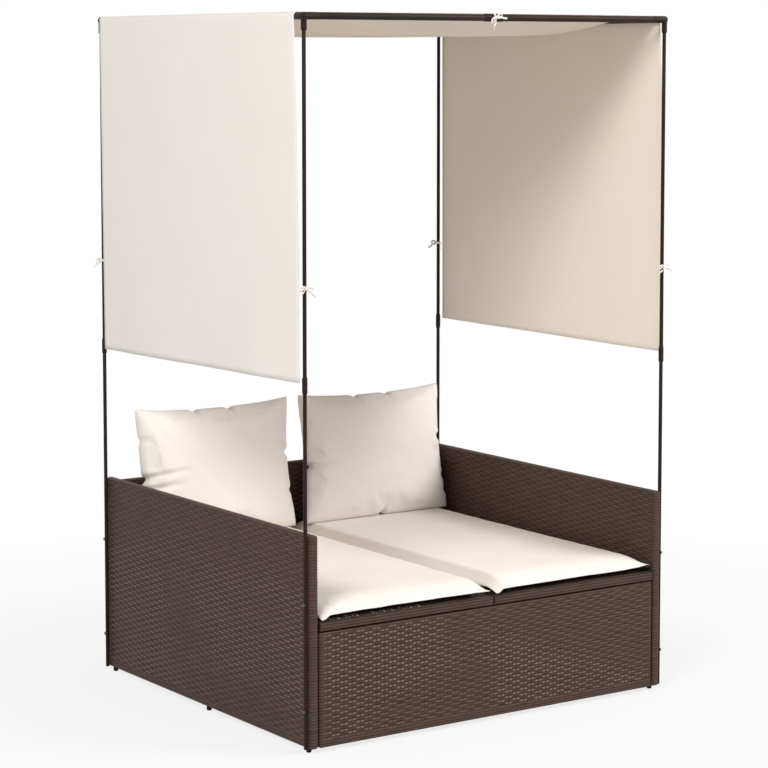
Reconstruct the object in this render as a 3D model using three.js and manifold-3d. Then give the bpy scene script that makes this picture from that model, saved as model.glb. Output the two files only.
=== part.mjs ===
// Outdoor daybed with a cloth canopy, built from wrapped woven panels and thin steel poles.
// Millimetres, +Z up, front towards -Y, origin on the ground under the middle of the base.
import * as THREE from "three";
import { mergeVertices } from "three/addons/utils/BufferGeometryUtils.js";
import Module from "manifold-3d";

const wasm = await Module();
wasm.setup();

// Fits that many pieces share
const fitGap = 0.3;
const cutOverrun = 2;
const holeSides = 6;
const boltSides = 8;

// Base panels
const baseLength = 1244;
const baseDepth = 1160;
const panelThickness = 27;
const panelEdgeRadius = 8;
const panelCornerRadius = 6;
const sidePanelTop = 603;
const backPanelTop = 592;
const frontPanelTop = 330;
const panelGap = 3;
const skinThickness = 4.5;
const stockWall = 1.5;

// Feet
const footHeight = 13.5;
const footRadius = 7.5;
const footStemRadius = 4;
const footStemLength = 12;
const footEndInset = 31;
const footMiddleY = -16;
const footSides = 10;

// Poles and their couplers
const poleRadius = 5.5;
const poleWall = 1;
const poleEndInset = 15;
const poleGap = 1;
const poleSides = 10;
const couplerHeight = 1011;
const couplerLength = 46;
const couplerRadius = 7.5;
const couplerShoulder = 4;
const couplerEndRadius = 6.5;

// Top bars and corner connectors
const barAxisHeight = 1998.5;
const barRadius = 9.75;
const barWall = 1.2;
const barSides = 12;
const sleeveRadius = 11.3;
const sleeveLength = 65;
const connectorRadius = 10.25;
const connectorLegLength = 45;
const connectorSideLegLength = 32;
const connectorDropLength = 39.5;
const connectorDropRadius = 8;
const connectorTaper = 5;
const connectorEndRadius = 6.6;
const spigotRadius = 8.2;
const spigotLength = 30;
const socketTopDepth = 12;
const webReach = 9;
const webThickness = 7;

// Bolts through the poles, and the stubs that hold the panels and seats together
const boltHeights = [118, 413];
const boltShankRadius = 3;
const boltHeadRadius = 5;
const boltHeadHeight = 4.5;
const boltGrip = 14;
const boltRimShare = 0.25;
const boltCrownShare = 0.7;
const boltDomeShare = 0.83;
const stubRadius = 4;
const stubGrip = 10;
const frontStubHeights = [85, 262];
const backStubHeights = [85, 262, 508];
const drainRadius = 3;

// Seat sections
const seatTop = 361;
const seatFrameHeight = 20;
const seatRailWidth = 20;
const seatSeam = 3;
const deckThickness = 4;
const seatStubReach = 400;
const spacerSize = 20;
const spacerSetback = 5;
const spacerEdge = 60;

// Centre support under the seam between the seats
const supportWidth = 40;
const supportLeg = 24;
const supportFootRadius = 17;
const supportFootHeight = 5;
const supportSetback = 8;
const flangeHeight = 40;
const flangeWidth = 52;
const flangeThickness = 3;

// Seat pads
const padHeight = 46;
const padFrontSetback = 6;
const padSideGap = 4;
const padSeam = 5;
const padCornerRadius = 24;
const padCornerSteps = 3;

// Back pillows
const pillowMargin = 32.5;
const pillowHeight = 412;
const pillowThickness = 120;
const pillowPinch = 9;
const pillowPower = 0.45;
const pillowColumns = 14;
const pillowRows = 10;
const pillowLeanDegrees = 13.4;
const pillowSlouch = 28;
const pillowShift = 21.5;

// Canopy cloth
const clothThickness = 1.5;
const clothBoreSides = 12;
const canopyHemRise = 2;
const canopyEdgeFlare = 26;
const canopyHemBow = 14;
const roofSag = 60;
const roofPower = 5;
const roofSpreadPower = 1.3;
const roofHemRun = 230;
const dropFoldDepth = 5;
const dropFolds = 3;
const dropLevels = 6;
const roofHalfSteps = 5;
const canopyStations = 10;

// Ribbon ties
const tieHeight = 1273;
const tieBandHeight = 7;
const tieBandThickness = 1.6;
const tieKnotRadius = 5;
const ribbonThickness = 1.6;
const tieReach = 32;

// Places that follow from the sizes
const panelBottom = footHeight + fitGap;
const sideOuterX = baseLength / 2;
const sideInnerX = sideOuterX - panelThickness;
const sideMiddleX = sideOuterX - panelThickness / 2;
const crossPanelX = sideInnerX - panelGap;
const panelEndY = baseDepth / 2;
const crossInnerY = panelEndY - panelThickness;
const crossMiddleY = panelEndY - panelThickness / 2;
const cavityWidth = panelThickness - 2 * skinThickness;
const stockSize = cavityWidth - 2 * fitGap;
const poleX = sideOuterX + poleGap + poleRadius;
const poleY = panelEndY - poleEndInset;
const seatBottom = seatTop - seatFrameHeight;
const seatMiddleHeight = seatTop - seatFrameHeight / 2;
const seatBackY = crossInnerY - panelGap;
const seatInnerX = seatSeam / 2;
const barEndX = poleX - connectorLegLength - fitGap;
const canopyDropBottom = couplerHeight + canopyHemRise;
const sideBarEndY = poleY - connectorSideLegLength - fitGap;
const padBottom = seatTop + fitGap;
const padWidth = sideInnerX - padSideGap - padSeam / 2;
const pillowWidth = padWidth - pillowMargin;
const padFrontY = -panelEndY + padFrontSetback;
const padBackY = crossInnerY - fitGap;

// Materials
function material(color, roughness, metalness) {
  return new THREE.MeshStandardMaterial({ color, roughness, metalness });
}
const steel = material(0x2b2325, 0.45, 0.6);
const plastic = material(0x2a2222, 0.6, 0);
const weave = material(0x54463f, 0.65, 0);
const zinc = material(0x8a8783, 0.35, 0.9);
const padCloth = material(0xf4eee6, 0.9, 0);
const canopyCloth = material(0xebe4dc, 0.9, 0);

// Turns a closed geometry into a solid, with its faces pointing out, that can be cut and joined.
function toSolid(geometry) {
  const bare = geometry.clone();
  bare.deleteAttribute("normal");
  bare.deleteAttribute("uv");
  const merged = mergeVertices(bare);
  const position = merged.getAttribute("position");
  const corners = [0, 1, 2].map(() => new THREE.Vector3());
  const faces = [];
  let volume = 0;
  for (let start = 0; start < merged.index.count; start += corners.length) {
    const face = corners.map((corner, offset) => merged.index.getX(start + offset));
    if (new Set(face).size < corners.length) continue;
    face.forEach((index, offset) => corners[offset].fromBufferAttribute(position, index));
    volume += corners[0].dot(corners[1].clone().cross(corners[2]));
    faces.push(face);
  }
  const outward = volume < 0 ? faces.map((face) => face.toReversed()) : faces;
  const mesh = { numProp: 3, vertProperties: position.array, triVerts: new Uint32Array(outward.flat()) };
  return new wasm.Manifold(new wasm.Mesh(mesh));
}

function toGeometry(solid) {
  const mesh = solid.getMesh();
  const geometry = new THREE.BufferGeometry();
  geometry.setAttribute("position", new THREE.BufferAttribute(mesh.vertProperties, mesh.numProp));
  geometry.setIndex(new THREE.BufferAttribute(mesh.triVerts, 1));
  geometry.computeVertexNormals();
  return geometry;
}

function joined(solids) {
  return solids.reduce((whole, solid) => whole.add(solid));
}

function cut(solid, tools) {
  return tools.reduce((rest, tool) => rest.subtract(tool), solid);
}

function around(middle, size) {
  return [middle - size / 2, middle + size / 2];
}

// A block between two limits along each axis.
function block(xs, ys, zs) {
  const geometry = new THREE.BoxGeometry(xs[1] - xs[0], ys[1] - ys[0], zs[1] - zs[0]);
  geometry.translate((xs[0] + xs[1]) / 2, (ys[0] + ys[1]) / 2, (zs[0] + zs[1]) / 2);
  return toSolid(geometry);
}

// A round piece: an outline of [radius, distance] points turned about a direction from a place.
function turned(outline, sides, place, direction) {
  const points = outline.map(([radius, distance]) => new THREE.Vector2(radius, distance));
  const geometry = new THREE.LatheGeometry(points, sides);
  const up = new THREE.Vector3(0, 1, 0);
  geometry.applyQuaternion(new THREE.Quaternion().setFromUnitVectors(up, direction));
  geometry.translate(place.x, place.y, place.z);
  return toSolid(geometry);
}

function rod(radius, length, sides, place, direction) {
  return turned([[0, 0], [radius, 0], [radius, length], [0, length]], sides, place, direction);
}

function pipe(radius, bore, length, sides, place, direction) {
  const outline = [[bore, 0], [radius, 0], [radius, length], [bore, length], [bore, 0]];
  return turned(outline, sides, place, direction);
}

// The radius of a many-sided hole that clears a shaft all round.
function clearRadius(radius, sides) {
  return (radius + fitGap) / Math.cos(Math.PI / sides);
}

function hole(shaftRadius, depth, place, direction) {
  const start = place.clone().addScaledVector(direction, -cutOverrun);
  return rod(clearRadius(shaftRadius, holeSides), depth + cutOverrun, holeSides, start, direction);
}

const daybed = new THREE.Group();

function addPiece(name, solid, look, place = new THREE.Vector3()) {
  const mesh = new THREE.Mesh(toGeometry(solid), look);
  mesh.name = name;
  mesh.position.copy(place);
  daybed.add(mesh);
  return mesh;
}

const along = (x, y, z) => new THREE.Vector3(x, y, z);
const up = along(0, 0, 1);
const sides = [["left", -1], ["right", 1]];
const ends = [["front", -1], ["rear", 1]];

// A woven skin wrapped round a panel frame: rounded outside, hollow inside and open below.
function panelSkin(length, top, drills) {
  const flat = length - 2 * panelEdgeRadius;
  const rise = top - panelBottom - 2 * panelEdgeRadius;
  const outline = new THREE.Shape();
  const [left, right] = around(0, flat);
  const low = panelBottom + panelEdgeRadius;
  const high = low + rise;
  const corner = panelCornerRadius;
  outline.moveTo(left + corner, low);
  outline.lineTo(right - corner, low);
  outline.quadraticCurveTo(right, low, right, low + corner);
  outline.lineTo(right, high - corner);
  outline.quadraticCurveTo(right, high, right - corner, high);
  outline.lineTo(left + corner, high);
  outline.quadraticCurveTo(left, high, left, high - corner);
  outline.lineTo(left, low + corner);
  outline.quadraticCurveTo(left, low, left + corner, low);
  const depth = panelThickness - 2 * panelEdgeRadius;
  const geometry = new THREE.ExtrudeGeometry(outline, {
    depth,
    curveSegments: 2,
    bevelSize: panelEdgeRadius,
    bevelThickness: panelEdgeRadius,
    bevelSegments: 2,
  });
  geometry.translate(0, 0, -depth / 2);
  geometry.rotateX(Math.PI / 2);
  const cavityLength = length - 2 * skinThickness;
  const cavityZ = [panelBottom - cutOverrun, top - skinThickness];
  const cavity = block(around(0, cavityLength), around(0, cavityWidth), cavityZ);
  return cut(toSolid(geometry), [cavity, ...drills]);
}

// The welded square tube frame inside a panel, with upright and level members between its edges.
function panelFrame(length, top, uprights, levels, drills) {
  const half = length / 2 - skinThickness - fitGap;
  const low = panelBottom;
  const high = top - skinThickness - fitGap;
  const edge = stockSize / 2;
  const bars = [];
  for (const place of [-half + edge, ...uprights, half - edge]) {
    bars.push([around(place, stockSize), around(0, stockSize), [low, high]]);
  }
  for (const height of [low + edge, ...levels, high - edge]) {
    bars.push([[-half, half], around(0, stockSize), around(height, stockSize)]);
  }
  const inset = ([start, end]) => [start + stockWall, end - stockWall];
  const tubes = joined(bars.map((bar) => block(...bar)));
  const hollows = joined(bars.map((bar) => block(...bar.map(inset))));
  return cut(tubes.subtract(hollows), drills);
}

// Side panels stand along Y: their own X axis is turned to point along Y.
const quarterTurn = Math.PI / 2;

function addTurnedPiece(name, solid, look, x) {
  const mesh = addPiece(name, solid, look, along(x, 0, 0));
  mesh.rotation.z = quarterTurn;
}

const footPlaces = [-panelEndY + footEndInset, footMiddleY, panelEndY - footEndInset];

function sidePanelDrills(side) {
  const outward = along(0, -side, 0);
  const face = (x, z, way) => along(x, (way * -side * panelThickness) / 2, z);
  const drills = [];
  for (const end of [-1, 1]) {
    for (const height of boltHeights) {
      const depth = skinThickness + boltGrip;
      drills.push(hole(boltShankRadius, depth, face(end * poleY, height, 1), outward.clone().negate()));
    }
    const heights = end < 0 ? frontStubHeights : backStubHeights;
    for (const height of heights) {
      const depth = skinThickness + stubGrip + fitGap;
      drills.push(hole(stubRadius, depth, face(end * crossMiddleY, height, -1), outward));
    }
    const seatDepth = skinThickness + stubGrip + fitGap;
    const seatPlace = face(end * seatStubReach, seatMiddleHeight, -1);
    drills.push(hole(stubRadius, seatDepth, seatPlace, outward));
  }
  for (const place of footPlaces) {
    drills.push(hole(footStemRadius, footStemLength + fitGap, along(place, 0, panelBottom), up));
  }
  return drills;
}

for (const [name, side] of sides) {
  const drills = sidePanelDrills(side);
  const skin = panelSkin(baseDepth, sidePanelTop, drills);
  addTurnedPiece(`weave_side_${name}`, skin, weave, side * sideMiddleX);
  const frame = panelFrame(baseDepth, sidePanelTop, [0], [seatMiddleHeight], drills);
  addTurnedPiece(`frame_side_${name}`, frame, steel, side * sideMiddleX);
}

// Front and back panels run between the side panels and are held to them by stubs across the gap.
const crossLength = 2 * crossPanelX;
const stubLength = panelGap + skinThickness + stubGrip;

function endStubs(heights) {
  const start = crossPanelX - skinThickness - fitGap - stockWall;
  const length = crossPanelX - start + stubLength;
  const stubs = [];
  for (const height of heights) {
    for (const side of [-1, 1]) {
      stubs.push(rod(stubRadius, length, holeSides, along(side * start, 0, height), along(side, 0, 0)));
    }
  }
  return stubs;
}

function endStubHoles(heights) {
  const depth = panelThickness;
  const holes = [];
  for (const height of heights) {
    for (const side of [-1, 1]) {
      holes.push(hole(stubRadius, depth, along(side * crossPanelX, 0, height), along(-side, 0, 0)));
    }
  }
  return holes;
}

const drain = hole(drainRadius, stockSize / 2, along(crossPanelX / 2, 0, panelBottom), up);
const seatStubX = [crossPanelX / 4, (crossPanelX * 3) / 4];
const seatStubHoles = seatStubX.flatMap((x) => [-x, x]).map((x) => {
  const depth = skinThickness + stubGrip + fitGap;
  return hole(stubRadius, depth, along(x, -panelThickness / 2, seatMiddleHeight), along(0, 1, 0));
});

const frontPlace = along(0, -crossMiddleY, 0);
const frontSkin = panelSkin(crossLength, frontPanelTop, endStubHoles(frontStubHeights));
addPiece("weave_front", frontSkin, weave, frontPlace);
const frontRing = panelFrame(crossLength, frontPanelTop, [0], [], [drain]);
addPiece("frame_front", joined([frontRing, ...endStubs(frontStubHeights)]), steel, frontPlace);

const backPlace = along(0, crossMiddleY, 0);
const backDrills = [...endStubHoles(backStubHeights), ...seatStubHoles];
addPiece("weave_back", panelSkin(crossLength, backPanelTop, backDrills), weave, backPlace);
const backTubes = panelFrame(crossLength, backPanelTop, [0], [seatMiddleHeight], [drain, ...seatStubHoles]);
addPiece("frame_back", joined([backTubes, ...endStubs(backStubHeights)]), steel, backPlace);

// Glides under the side panels, each with a stem in the bottom tube.
const footOutline = [
  [0, 0],
  [footRadius - footHeight / 4, 0],
  [footRadius, footHeight / 4],
  [footRadius, footHeight],
  [footStemRadius, footHeight],
  [footStemRadius, footHeight + footStemLength],
  [0, footHeight + footStemLength],
];
const footNames = ["front", "middle", "rear"];
for (const [name, side] of sides) {
  footPlaces.forEach((place, index) => {
    const solid = turned(footOutline, footSides, along(0, 0, 0), up);
    addPiece(`foot_${name}_${footNames[index]}`, solid, plastic, along(side * sideMiddleX, place, 0));
  });
}

// Poles: a lower and an upper tube meet inside a coupler at each corner.
const socketTop = barAxisHeight - socketTopDepth;
const couplerBore = clearRadius(poleRadius, poleSides);

function couplerOutline() {
  const shoulder = couplerShoulder;
  return [
    [couplerBore, 0],
    [couplerEndRadius, 0],
    [couplerRadius, shoulder],
    [couplerRadius, couplerLength - shoulder],
    [couplerEndRadius, couplerLength],
    [couplerBore, couplerLength],
    [couplerBore, 0],
  ];
}

const boltTip = -poleRadius * 2 - poleGap - skinThickness - boltGrip + fitGap;
const boltOutline = [
  [0, boltTip],
  [boltShankRadius, boltTip],
  [boltShankRadius, 0],
  [boltHeadRadius, 0],
  [boltHeadRadius, boltHeadHeight * boltRimShare],
  [boltHeadRadius * boltCrownShare, boltHeadHeight * boltDomeShare],
  [0, boltHeadHeight],
];

for (const [endName, end] of ends) {
  for (const [name, side] of sides) {
    const corner = `${endName}_${name}`;
    const place = along(side * poleX, end * poleY, 0);
    const outward = along(side, 0, 0);
    const lowerLength = couplerHeight - panelBottom;
    const holes = boltHeights.map((height) => {
      const start = along(side * (poleRadius + cutOverrun), 0, height);
      return hole(boltShankRadius, poleRadius * 2 + cutOverrun * 2, start, outward.clone().negate());
    });
    const poleBore = poleRadius - poleWall;
    const lower = pipe(poleRadius, poleBore, lowerLength, poleSides, along(0, 0, panelBottom), up);
    addPiece(`pole_lower_${corner}`, cut(lower, holes), steel, place);

    const upperStart = couplerHeight + fitGap;
    const upperLength = socketTop - fitGap - upperStart;
    const upper = pipe(poleRadius, poleBore, upperLength, poleSides, along(0, 0, upperStart), up);
    addPiece(`pole_upper_${corner}`, upper, steel, place);

    const couplerPlace = along(0, 0, couplerHeight - couplerLength / 2);
    addPiece(`coupler_${corner}`, turned(couplerOutline(), poleSides, couplerPlace, up), plastic, place);

    boltHeights.forEach((height, index) => {
      const solid = turned(boltOutline, boltSides, along(0, 0, 0), outward);
      const seat = along(side * (poleX + poleRadius + fitGap), end * poleY, height);
      addPiece(`bolt_${corner}_${index + 1}`, solid, zinc, seat);
    });
  }
}

// Corner connectors: two legs with spigots for the bars and a socket for the pole.
function connectorLeg(direction, length) {
  const outline = [
    [0, 0],
    [connectorRadius, 0],
    [connectorRadius, length],
    [spigotRadius, length],
    [spigotRadius, length + spigotLength],
    [0, length + spigotLength],
  ];
  return turned(outline, barSides, along(0, 0, 0), direction);
}

function connectorWeb(first, second) {
  const reach = connectorRadius + webReach;
  const shape = new THREE.Shape([
    new THREE.Vector2(0, 0),
    new THREE.Vector2(reach, 0),
    new THREE.Vector2(0, reach),
  ]);
  const geometry = new THREE.ExtrudeGeometry(shape, { depth: webThickness, bevelEnabled: false });
  geometry.translate(0, 0, -webThickness / 2);
  const third = first.clone().cross(second);
  geometry.applyMatrix4(new THREE.Matrix4().makeBasis(first, second, third));
  return toSolid(geometry);
}

function cornerConnector(side, end) {
  const inward = along(-side, 0, 0);
  const depthward = along(0, -end, 0);
  const down = along(0, 0, -1);
  const dropOutline = [
    [0, 0],
    [connectorDropRadius, 0],
    [connectorDropRadius, connectorDropLength],
    [connectorEndRadius, connectorDropLength + connectorTaper],
    [0, connectorDropLength + connectorTaper],
  ];
  const ball = toSolid(new THREE.SphereGeometry(connectorRadius, barSides, barSides / 2));
  const body = joined([
    ball,
    connectorLeg(inward, connectorLegLength),
    connectorLeg(depthward, connectorSideLegLength),
    turned(dropOutline, poleSides, along(0, 0, 0), down),
    connectorWeb(inward, depthward),
    connectorWeb(inward, down),
    connectorWeb(depthward, down),
  ]);
  const socketStart = along(0, 0, -connectorDropLength - connectorTaper - cutOverrun);
  const socketLength = connectorDropLength + connectorTaper + cutOverrun - socketTopDepth;
  return cut(body, [rod(couplerBore, socketLength, poleSides, socketStart, up)]);
}

for (const [endName, end] of ends) {
  for (const [name, side] of sides) {
    const place = along(side * poleX, end * poleY, barAxisHeight);
    addPiece(`connector_${endName}_${name}`, cornerConnector(side, end), plastic, place);
  }
}

// Front and rear bars: the left half ends in a sleeve that takes the right half.
const barBore = barRadius - barWall;
const sleeveBore = clearRadius(barRadius, barSides);
for (const [endName, end] of ends) {
  const outline = [
    [barBore, -barEndX],
    [barRadius, -barEndX],
    [barRadius, -sleeveLength / 2],
    [sleeveRadius, -sleeveLength / 2],
    [sleeveRadius, sleeveLength / 2],
    [sleeveBore, sleeveLength / 2],
    [sleeveBore, 0],
    [barBore, 0],
    [barBore, -barEndX],
  ];
  const place = along(0, end * poleY, barAxisHeight);
  addPiece(`bar_${endName}_left`, turned(outline, barSides, along(0, 0, 0), along(1, 0, 0)), steel, place);
  const half = pipe(barRadius, barBore, barEndX - fitGap, barSides, along(fitGap, 0, 0), along(1, 0, 0));
  addPiece(`bar_${endName}_right`, half, steel, place);
}

for (const [name, side] of sides) {
  const start = along(0, -sideBarEndY, 0);
  const solid = pipe(barRadius, barBore, sideBarEndY * 2, barSides, start, along(0, 1, 0));
  addPiece(`bar_side_${name}`, solid, steel, along(side * poleX, 0, barAxisHeight));
}

// Seat sections: a wrapped frame with one cross bar, and a woven deck let into its top.
const deckGap = fitGap;
const seatMiddleY = (seatBackY - panelEndY) / 2;
for (const [name, side] of sides) {
  const span = (inner, outer) => (side < 0 ? [-outer, -inner] : [inner, outer]);
  const ys = [-panelEndY, seatBackY];
  const zs = [seatBottom, seatTop];
  const windowX = span(seatInnerX + seatRailWidth, crossPanelX - seatRailWidth);
  const windowY = [ys[0] + seatRailWidth, ys[1] - seatRailWidth];
  const ring = block(span(seatInnerX, crossPanelX), ys, zs);
  const opening = block(windowX, windowY, [zs[0] - cutOverrun, zs[1] + cutOverrun]);
  const barX = [windowX[0] - cutOverrun, windowX[1] + cutOverrun];
  const barTop = seatTop - deckThickness - deckGap;
  const crossBar = block(barX, around(seatMiddleY, seatRailWidth), [seatBottom, barTop]);
  const pieces = [ring.subtract(opening), crossBar];
  for (const x of [spacerEdge, crossPanelX - spacerEdge]) {
    const spacerY = [-panelEndY + spacerSetback, -panelEndY + spacerSetback + spacerSize];
    const spacerZ = [frontPanelTop + fitGap, seatBottom + cutOverrun];
    pieces.push(block(around(side * x, spacerSize), spacerY, spacerZ));
  }
  for (const reach of [-seatStubReach, seatStubReach]) {
    const start = along(side * (crossPanelX - seatRailWidth / 2), reach, seatMiddleHeight);
    pieces.push(rod(stubRadius, seatRailWidth / 2 + stubLength, holeSides, start, along(side, 0, 0)));
  }
  for (const x of seatStubX) {
    const start = along(side * x, seatBackY - seatRailWidth / 2, seatMiddleHeight);
    pieces.push(rod(stubRadius, seatRailWidth / 2 + stubLength, holeSides, start, along(0, 1, 0)));
  }
  addPiece(`seat_frame_${name}`, joined(pieces), weave);

  const deckX = [windowX[0] + deckGap, windowX[1] - deckGap];
  const deckY = [windowY[0] + deckGap, windowY[1] - deckGap];
  addPiece(`seat_deck_${name}`, block(deckX, deckY, [seatTop - deckThickness, seatTop]), weave);
}

// Centre support: a rail under the seam, a leg to the ground and a flange on the back panel.
const railTop = seatBottom - fitGap;
const railBottom = frontPanelTop + fitGap;
const railCore = (railTop + railBottom) / 2;
const flangeBack = crossInnerY - fitGap;
const railEnd = flangeBack - flangeThickness / 2;
const flangeZ = [railCore - flangeHeight, railCore];
addPiece("centre_support", joined([
  block(around(0, supportWidth), [-panelEndY + supportSetback, railEnd], [railBottom, railTop]),
  block(around(0, supportLeg), around(seatMiddleY, supportLeg), [supportFootHeight / 2, railCore]),
  block(around(0, flangeWidth), [flangeBack - flangeThickness, flangeBack], flangeZ),
  rod(supportFootRadius, supportFootHeight, footSides, along(0, seatMiddleY, 0), up),
]), steel);

// Seat pads: rings of a rounded outline, drawn in at the lower seam and crowned on top.
// Each ring is [share of the height, share of the height set in from the widest outline].
const padRingShares = [
  [0, 0.62],
  [0.06, 0.26],
  [0.26, 0.03],
  [0.46, 0],
  [0.66, 0.05],
  [0.84, 0.26],
  [0.93, 0.65],
  [0.975, 1.5],
  [1, 3.2],
];
const padDepth = padBackY - padFrontY;
const padMiddleY = (padBackY + padFrontY) / 2;
const padMiddleX = padSeam / 2 + padWidth / 2;

function roundedRing(halfX, halfY, radius, height) {
  const ring = [];
  const corners = [[1, -1, -0.5], [1, 1, 0], [-1, 1, 0.5], [-1, -1, 1]];
  for (const [signX, signY, startTurn] of corners) {
    for (let step = 0; step <= padCornerSteps; step += 1) {
      const angle = (startTurn + step / padCornerSteps / 2) * Math.PI;
      const x = signX * (halfX - radius) + radius * Math.cos(angle);
      const y = signY * (halfY - radius) + radius * Math.sin(angle);
      ring.push([x, y, height]);
    }
  }
  return ring;
}

// A closed solid from rings of points: the walls between them and a flat cap at each end.
function ringSolid(rings) {
  const count = rings[0].length;
  const positions = rings.flat(2);
  const faces = [];
  for (let level = 0; level < rings.length - 1; level += 1) {
    for (let index = 0; index < count; index += 1) {
      const next = (index + 1) % count;
      const low = level * count;
      const high = low + count;
      faces.push(low + index, low + next, high + next, low + index, high + next, high + index);
    }
  }
  const top = (rings.length - 1) * count;
  for (let index = 1; index < count - 1; index += 1) {
    faces.push(0, index + 1, index);
    faces.push(top, top + index, top + index + 1);
  }
  return toSolid(indexed(positions, faces));
}

function indexed(positions, faces) {
  const geometry = new THREE.BufferGeometry();
  geometry.setAttribute("position", new THREE.Float32BufferAttribute(positions, 3));
  geometry.setIndex(faces);
  return geometry;
}

for (const [name, side] of sides) {
  const rings = padRingShares.map(([heightShare, insetShare]) => {
    const inset = insetShare * padHeight;
    const radius = Math.max(padCornerRadius - inset / 2, padCornerRadius / 4);
    return roundedRing(padWidth / 2 - inset, padDepth / 2 - inset, radius, heightShare * padHeight);
  });
  addPiece(`seat_pad_${name}`, ringSolid(rings), padCloth, along(side * padMiddleX, padMiddleY, padBottom));
}

// The height of a pad's top at a place, from how far that place is inside the pad's outline.
function padTopAt(x, y) {
  const insideX = padWidth / 2 - Math.abs(Math.abs(x) - padMiddleX);
  const insideY = padDepth / 2 - Math.abs(y - padMiddleY);
  const inset = Math.min(insideX, insideY) / padHeight;
  const upper = padRingShares.slice(padRingShares.length / 2);
  if (inset <= upper[0][1]) return padBottom;
  for (let index = 1; index < upper.length; index += 1) {
    const [lowShare, nearShare] = upper[index - 1];
    const [highShare, farShare] = upper[index];
    if (inset <= farShare) {
      const blend = (inset - nearShare) / (farShare - nearShare);
      return padBottom + padHeight * (lowShare + (highShare - lowShare) * blend);
    }
  }
  return padBottom + padHeight;
}

// Back pillows: two bulging faces that meet in a seam, with sides drawn in between the corners.
// Both slouch a little, so their tops stand further to the right than their lower seams.
function pillowPoint(across, rise, face) {
  const slouch = (rise * pillowSlouch) / 2;
  const x = across * (pillowWidth / 2 - pillowPinch * (1 - rise * rise)) + slouch;
  const z = rise * (pillowHeight / 2 - pillowPinch * (1 - across * across));
  const fullness = Math.pow((1 - across * across) * (1 - rise * rise), pillowPower);
  return [x, (face * pillowThickness * fullness) / 2, z];
}

function pillowGeometry(columns, rows) {
  const positions = [];
  const faces = [];
  for (const face of [-1, 1]) {
    const start = positions.length / 3;
    for (let row = 0; row <= rows; row += 1) {
      for (let column = 0; column <= columns; column += 1) {
        positions.push(...pillowPoint(-1 + (2 * column) / columns, -1 + (2 * row) / rows, face));
      }
    }
    for (let row = 0; row < rows; row += 1) {
      for (let column = 0; column < columns; column += 1) {
        const low = start + row * (columns + 1) + column;
        const high = low + columns + 1;
        const quad = [low, low + 1, high + 1, low, high + 1, high];
        faces.push(...(face < 0 ? quad : quad.reverse()));
      }
    }
  }
  return indexed(positions, faces);
}

// Points spread evenly over the faces of a geometry.
function facePoints(geometry, steps) {
  const position = geometry.getAttribute("position");
  const points = [];
  for (let start = 0; start < geometry.index.count; start += 3) {
    const [first, second, third] = [0, 1, 2].map((offset) => {
      return new THREE.Vector3().fromBufferAttribute(position, geometry.index.getX(start + offset));
    });
    const alongSecond = second.sub(first);
    const alongThird = third.sub(first);
    for (let row = 0; row <= steps; row += 1) {
      for (let column = 0; column <= steps - row; column += 1) {
        const point = first.clone().addScaledVector(alongSecond, row / steps);
        points.push(point.addScaledVector(alongThird, column / steps));
      }
    }
  }
  return points;
}

// A pillow rests on its pad and against the back panel.
function pillowPlace(turn, x) {
  const faceSteps = 6;
  const points = facePoints(pillowGeometry(pillowColumns, pillowRows).applyMatrix4(turn), faceSteps);
  const place = along(x, 0, seatTop + pillowHeight / 2);
  const settleSteps = 3;
  for (let step = 0; step < settleSteps; step += 1) {
    const lowPoints = points.filter((point) => point.z + place.z < backPanelTop);
    place.y = crossInnerY - fitGap - Math.max(...lowPoints.map((point) => point.y));
    const drops = points.map((point) => point.z + place.z - padTopAt(point.x + x, point.y + place.y));
    place.z += fitGap - Math.min(...drops);
  }
  return place;
}

for (const [name, side] of sides) {
  const x = side * padMiddleX + pillowShift;
  const lean = new THREE.Matrix4().makeRotationX(THREE.MathUtils.degToRad(-pillowLeanDegrees));
  const solid = toSolid(pillowGeometry(pillowColumns, pillowRows));
  const mesh = addPiece(`pillow_${name}`, solid, padCloth, pillowPlace(lean, x));
  mesh.quaternion.setFromRotationMatrix(lean);
}

// Canopy: one cloth over both side bars, with a sewn tunnel round each bar and a hanging side drop.
const tunnelRadius = clearRadius(barRadius, clothBoreSides);
const tunnelOuter = tunnelRadius + clothThickness;
const tunnelDegrees = [0, 30, 60, 90, 115];
const fullTurn = 360;
const pocketDegrees = [-30, -70, -110, -150, -190, -210];

function tunnelPoints(degrees, radius) {
  return degrees.map((degree) => {
    const angle = THREE.MathUtils.degToRad(degree);
    return [poleX + radius * Math.cos(angle), barAxisHeight + radius * Math.sin(angle), sideBarEndY];
  });
}

function dropPoints(inset, topHeight, station) {
  const points = [];
  for (let level = 0; level < dropLevels; level += 1) {
    const hang = 1 - level / dropLevels;
    const fold = ((1 - Math.cos((station + 1) * dropFolds * Math.PI)) / 2) * dropFoldDepth * hang;
    const height = topHeight + (canopyDropBottom - topHeight) * hang;
    const reach = sideBarEndY + canopyEdgeFlare * (1 - (1 - hang) * (1 - hang));
    points.push([poleX + tunnelOuter - inset + fold, height, reach]);
  }
  return points;
}

// The sag of the roof: full across the middle, nothing at the side bars and at both hems.
function roofPoints(inset, station) {
  const points = [];
  const hemDistance = (1 - Math.abs(station)) * sideBarEndY;
  const run = Math.min(hemDistance / roofHemRun, 1);
  const hemRise = run * run * (3 - 2 * run);
  for (let step = 1; step <= roofHalfSteps; step += 1) {
    const share = 1 - Math.pow(step / roofHalfSteps, roofSpreadPower);
    const sag = roofSag * (1 - Math.pow(share, roofPower)) * hemRise;
    const bow = canopyHemBow * (1 - share * share);
    points.push([share * poleX, barAxisHeight + tunnelOuter - inset - sag, sideBarEndY + bow]);
  }
  return points;
}

function mirrored(points) {
  return points.slice(0, -1).reverse().map(([x, z, reach]) => [-x, z, reach]);
}

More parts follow.
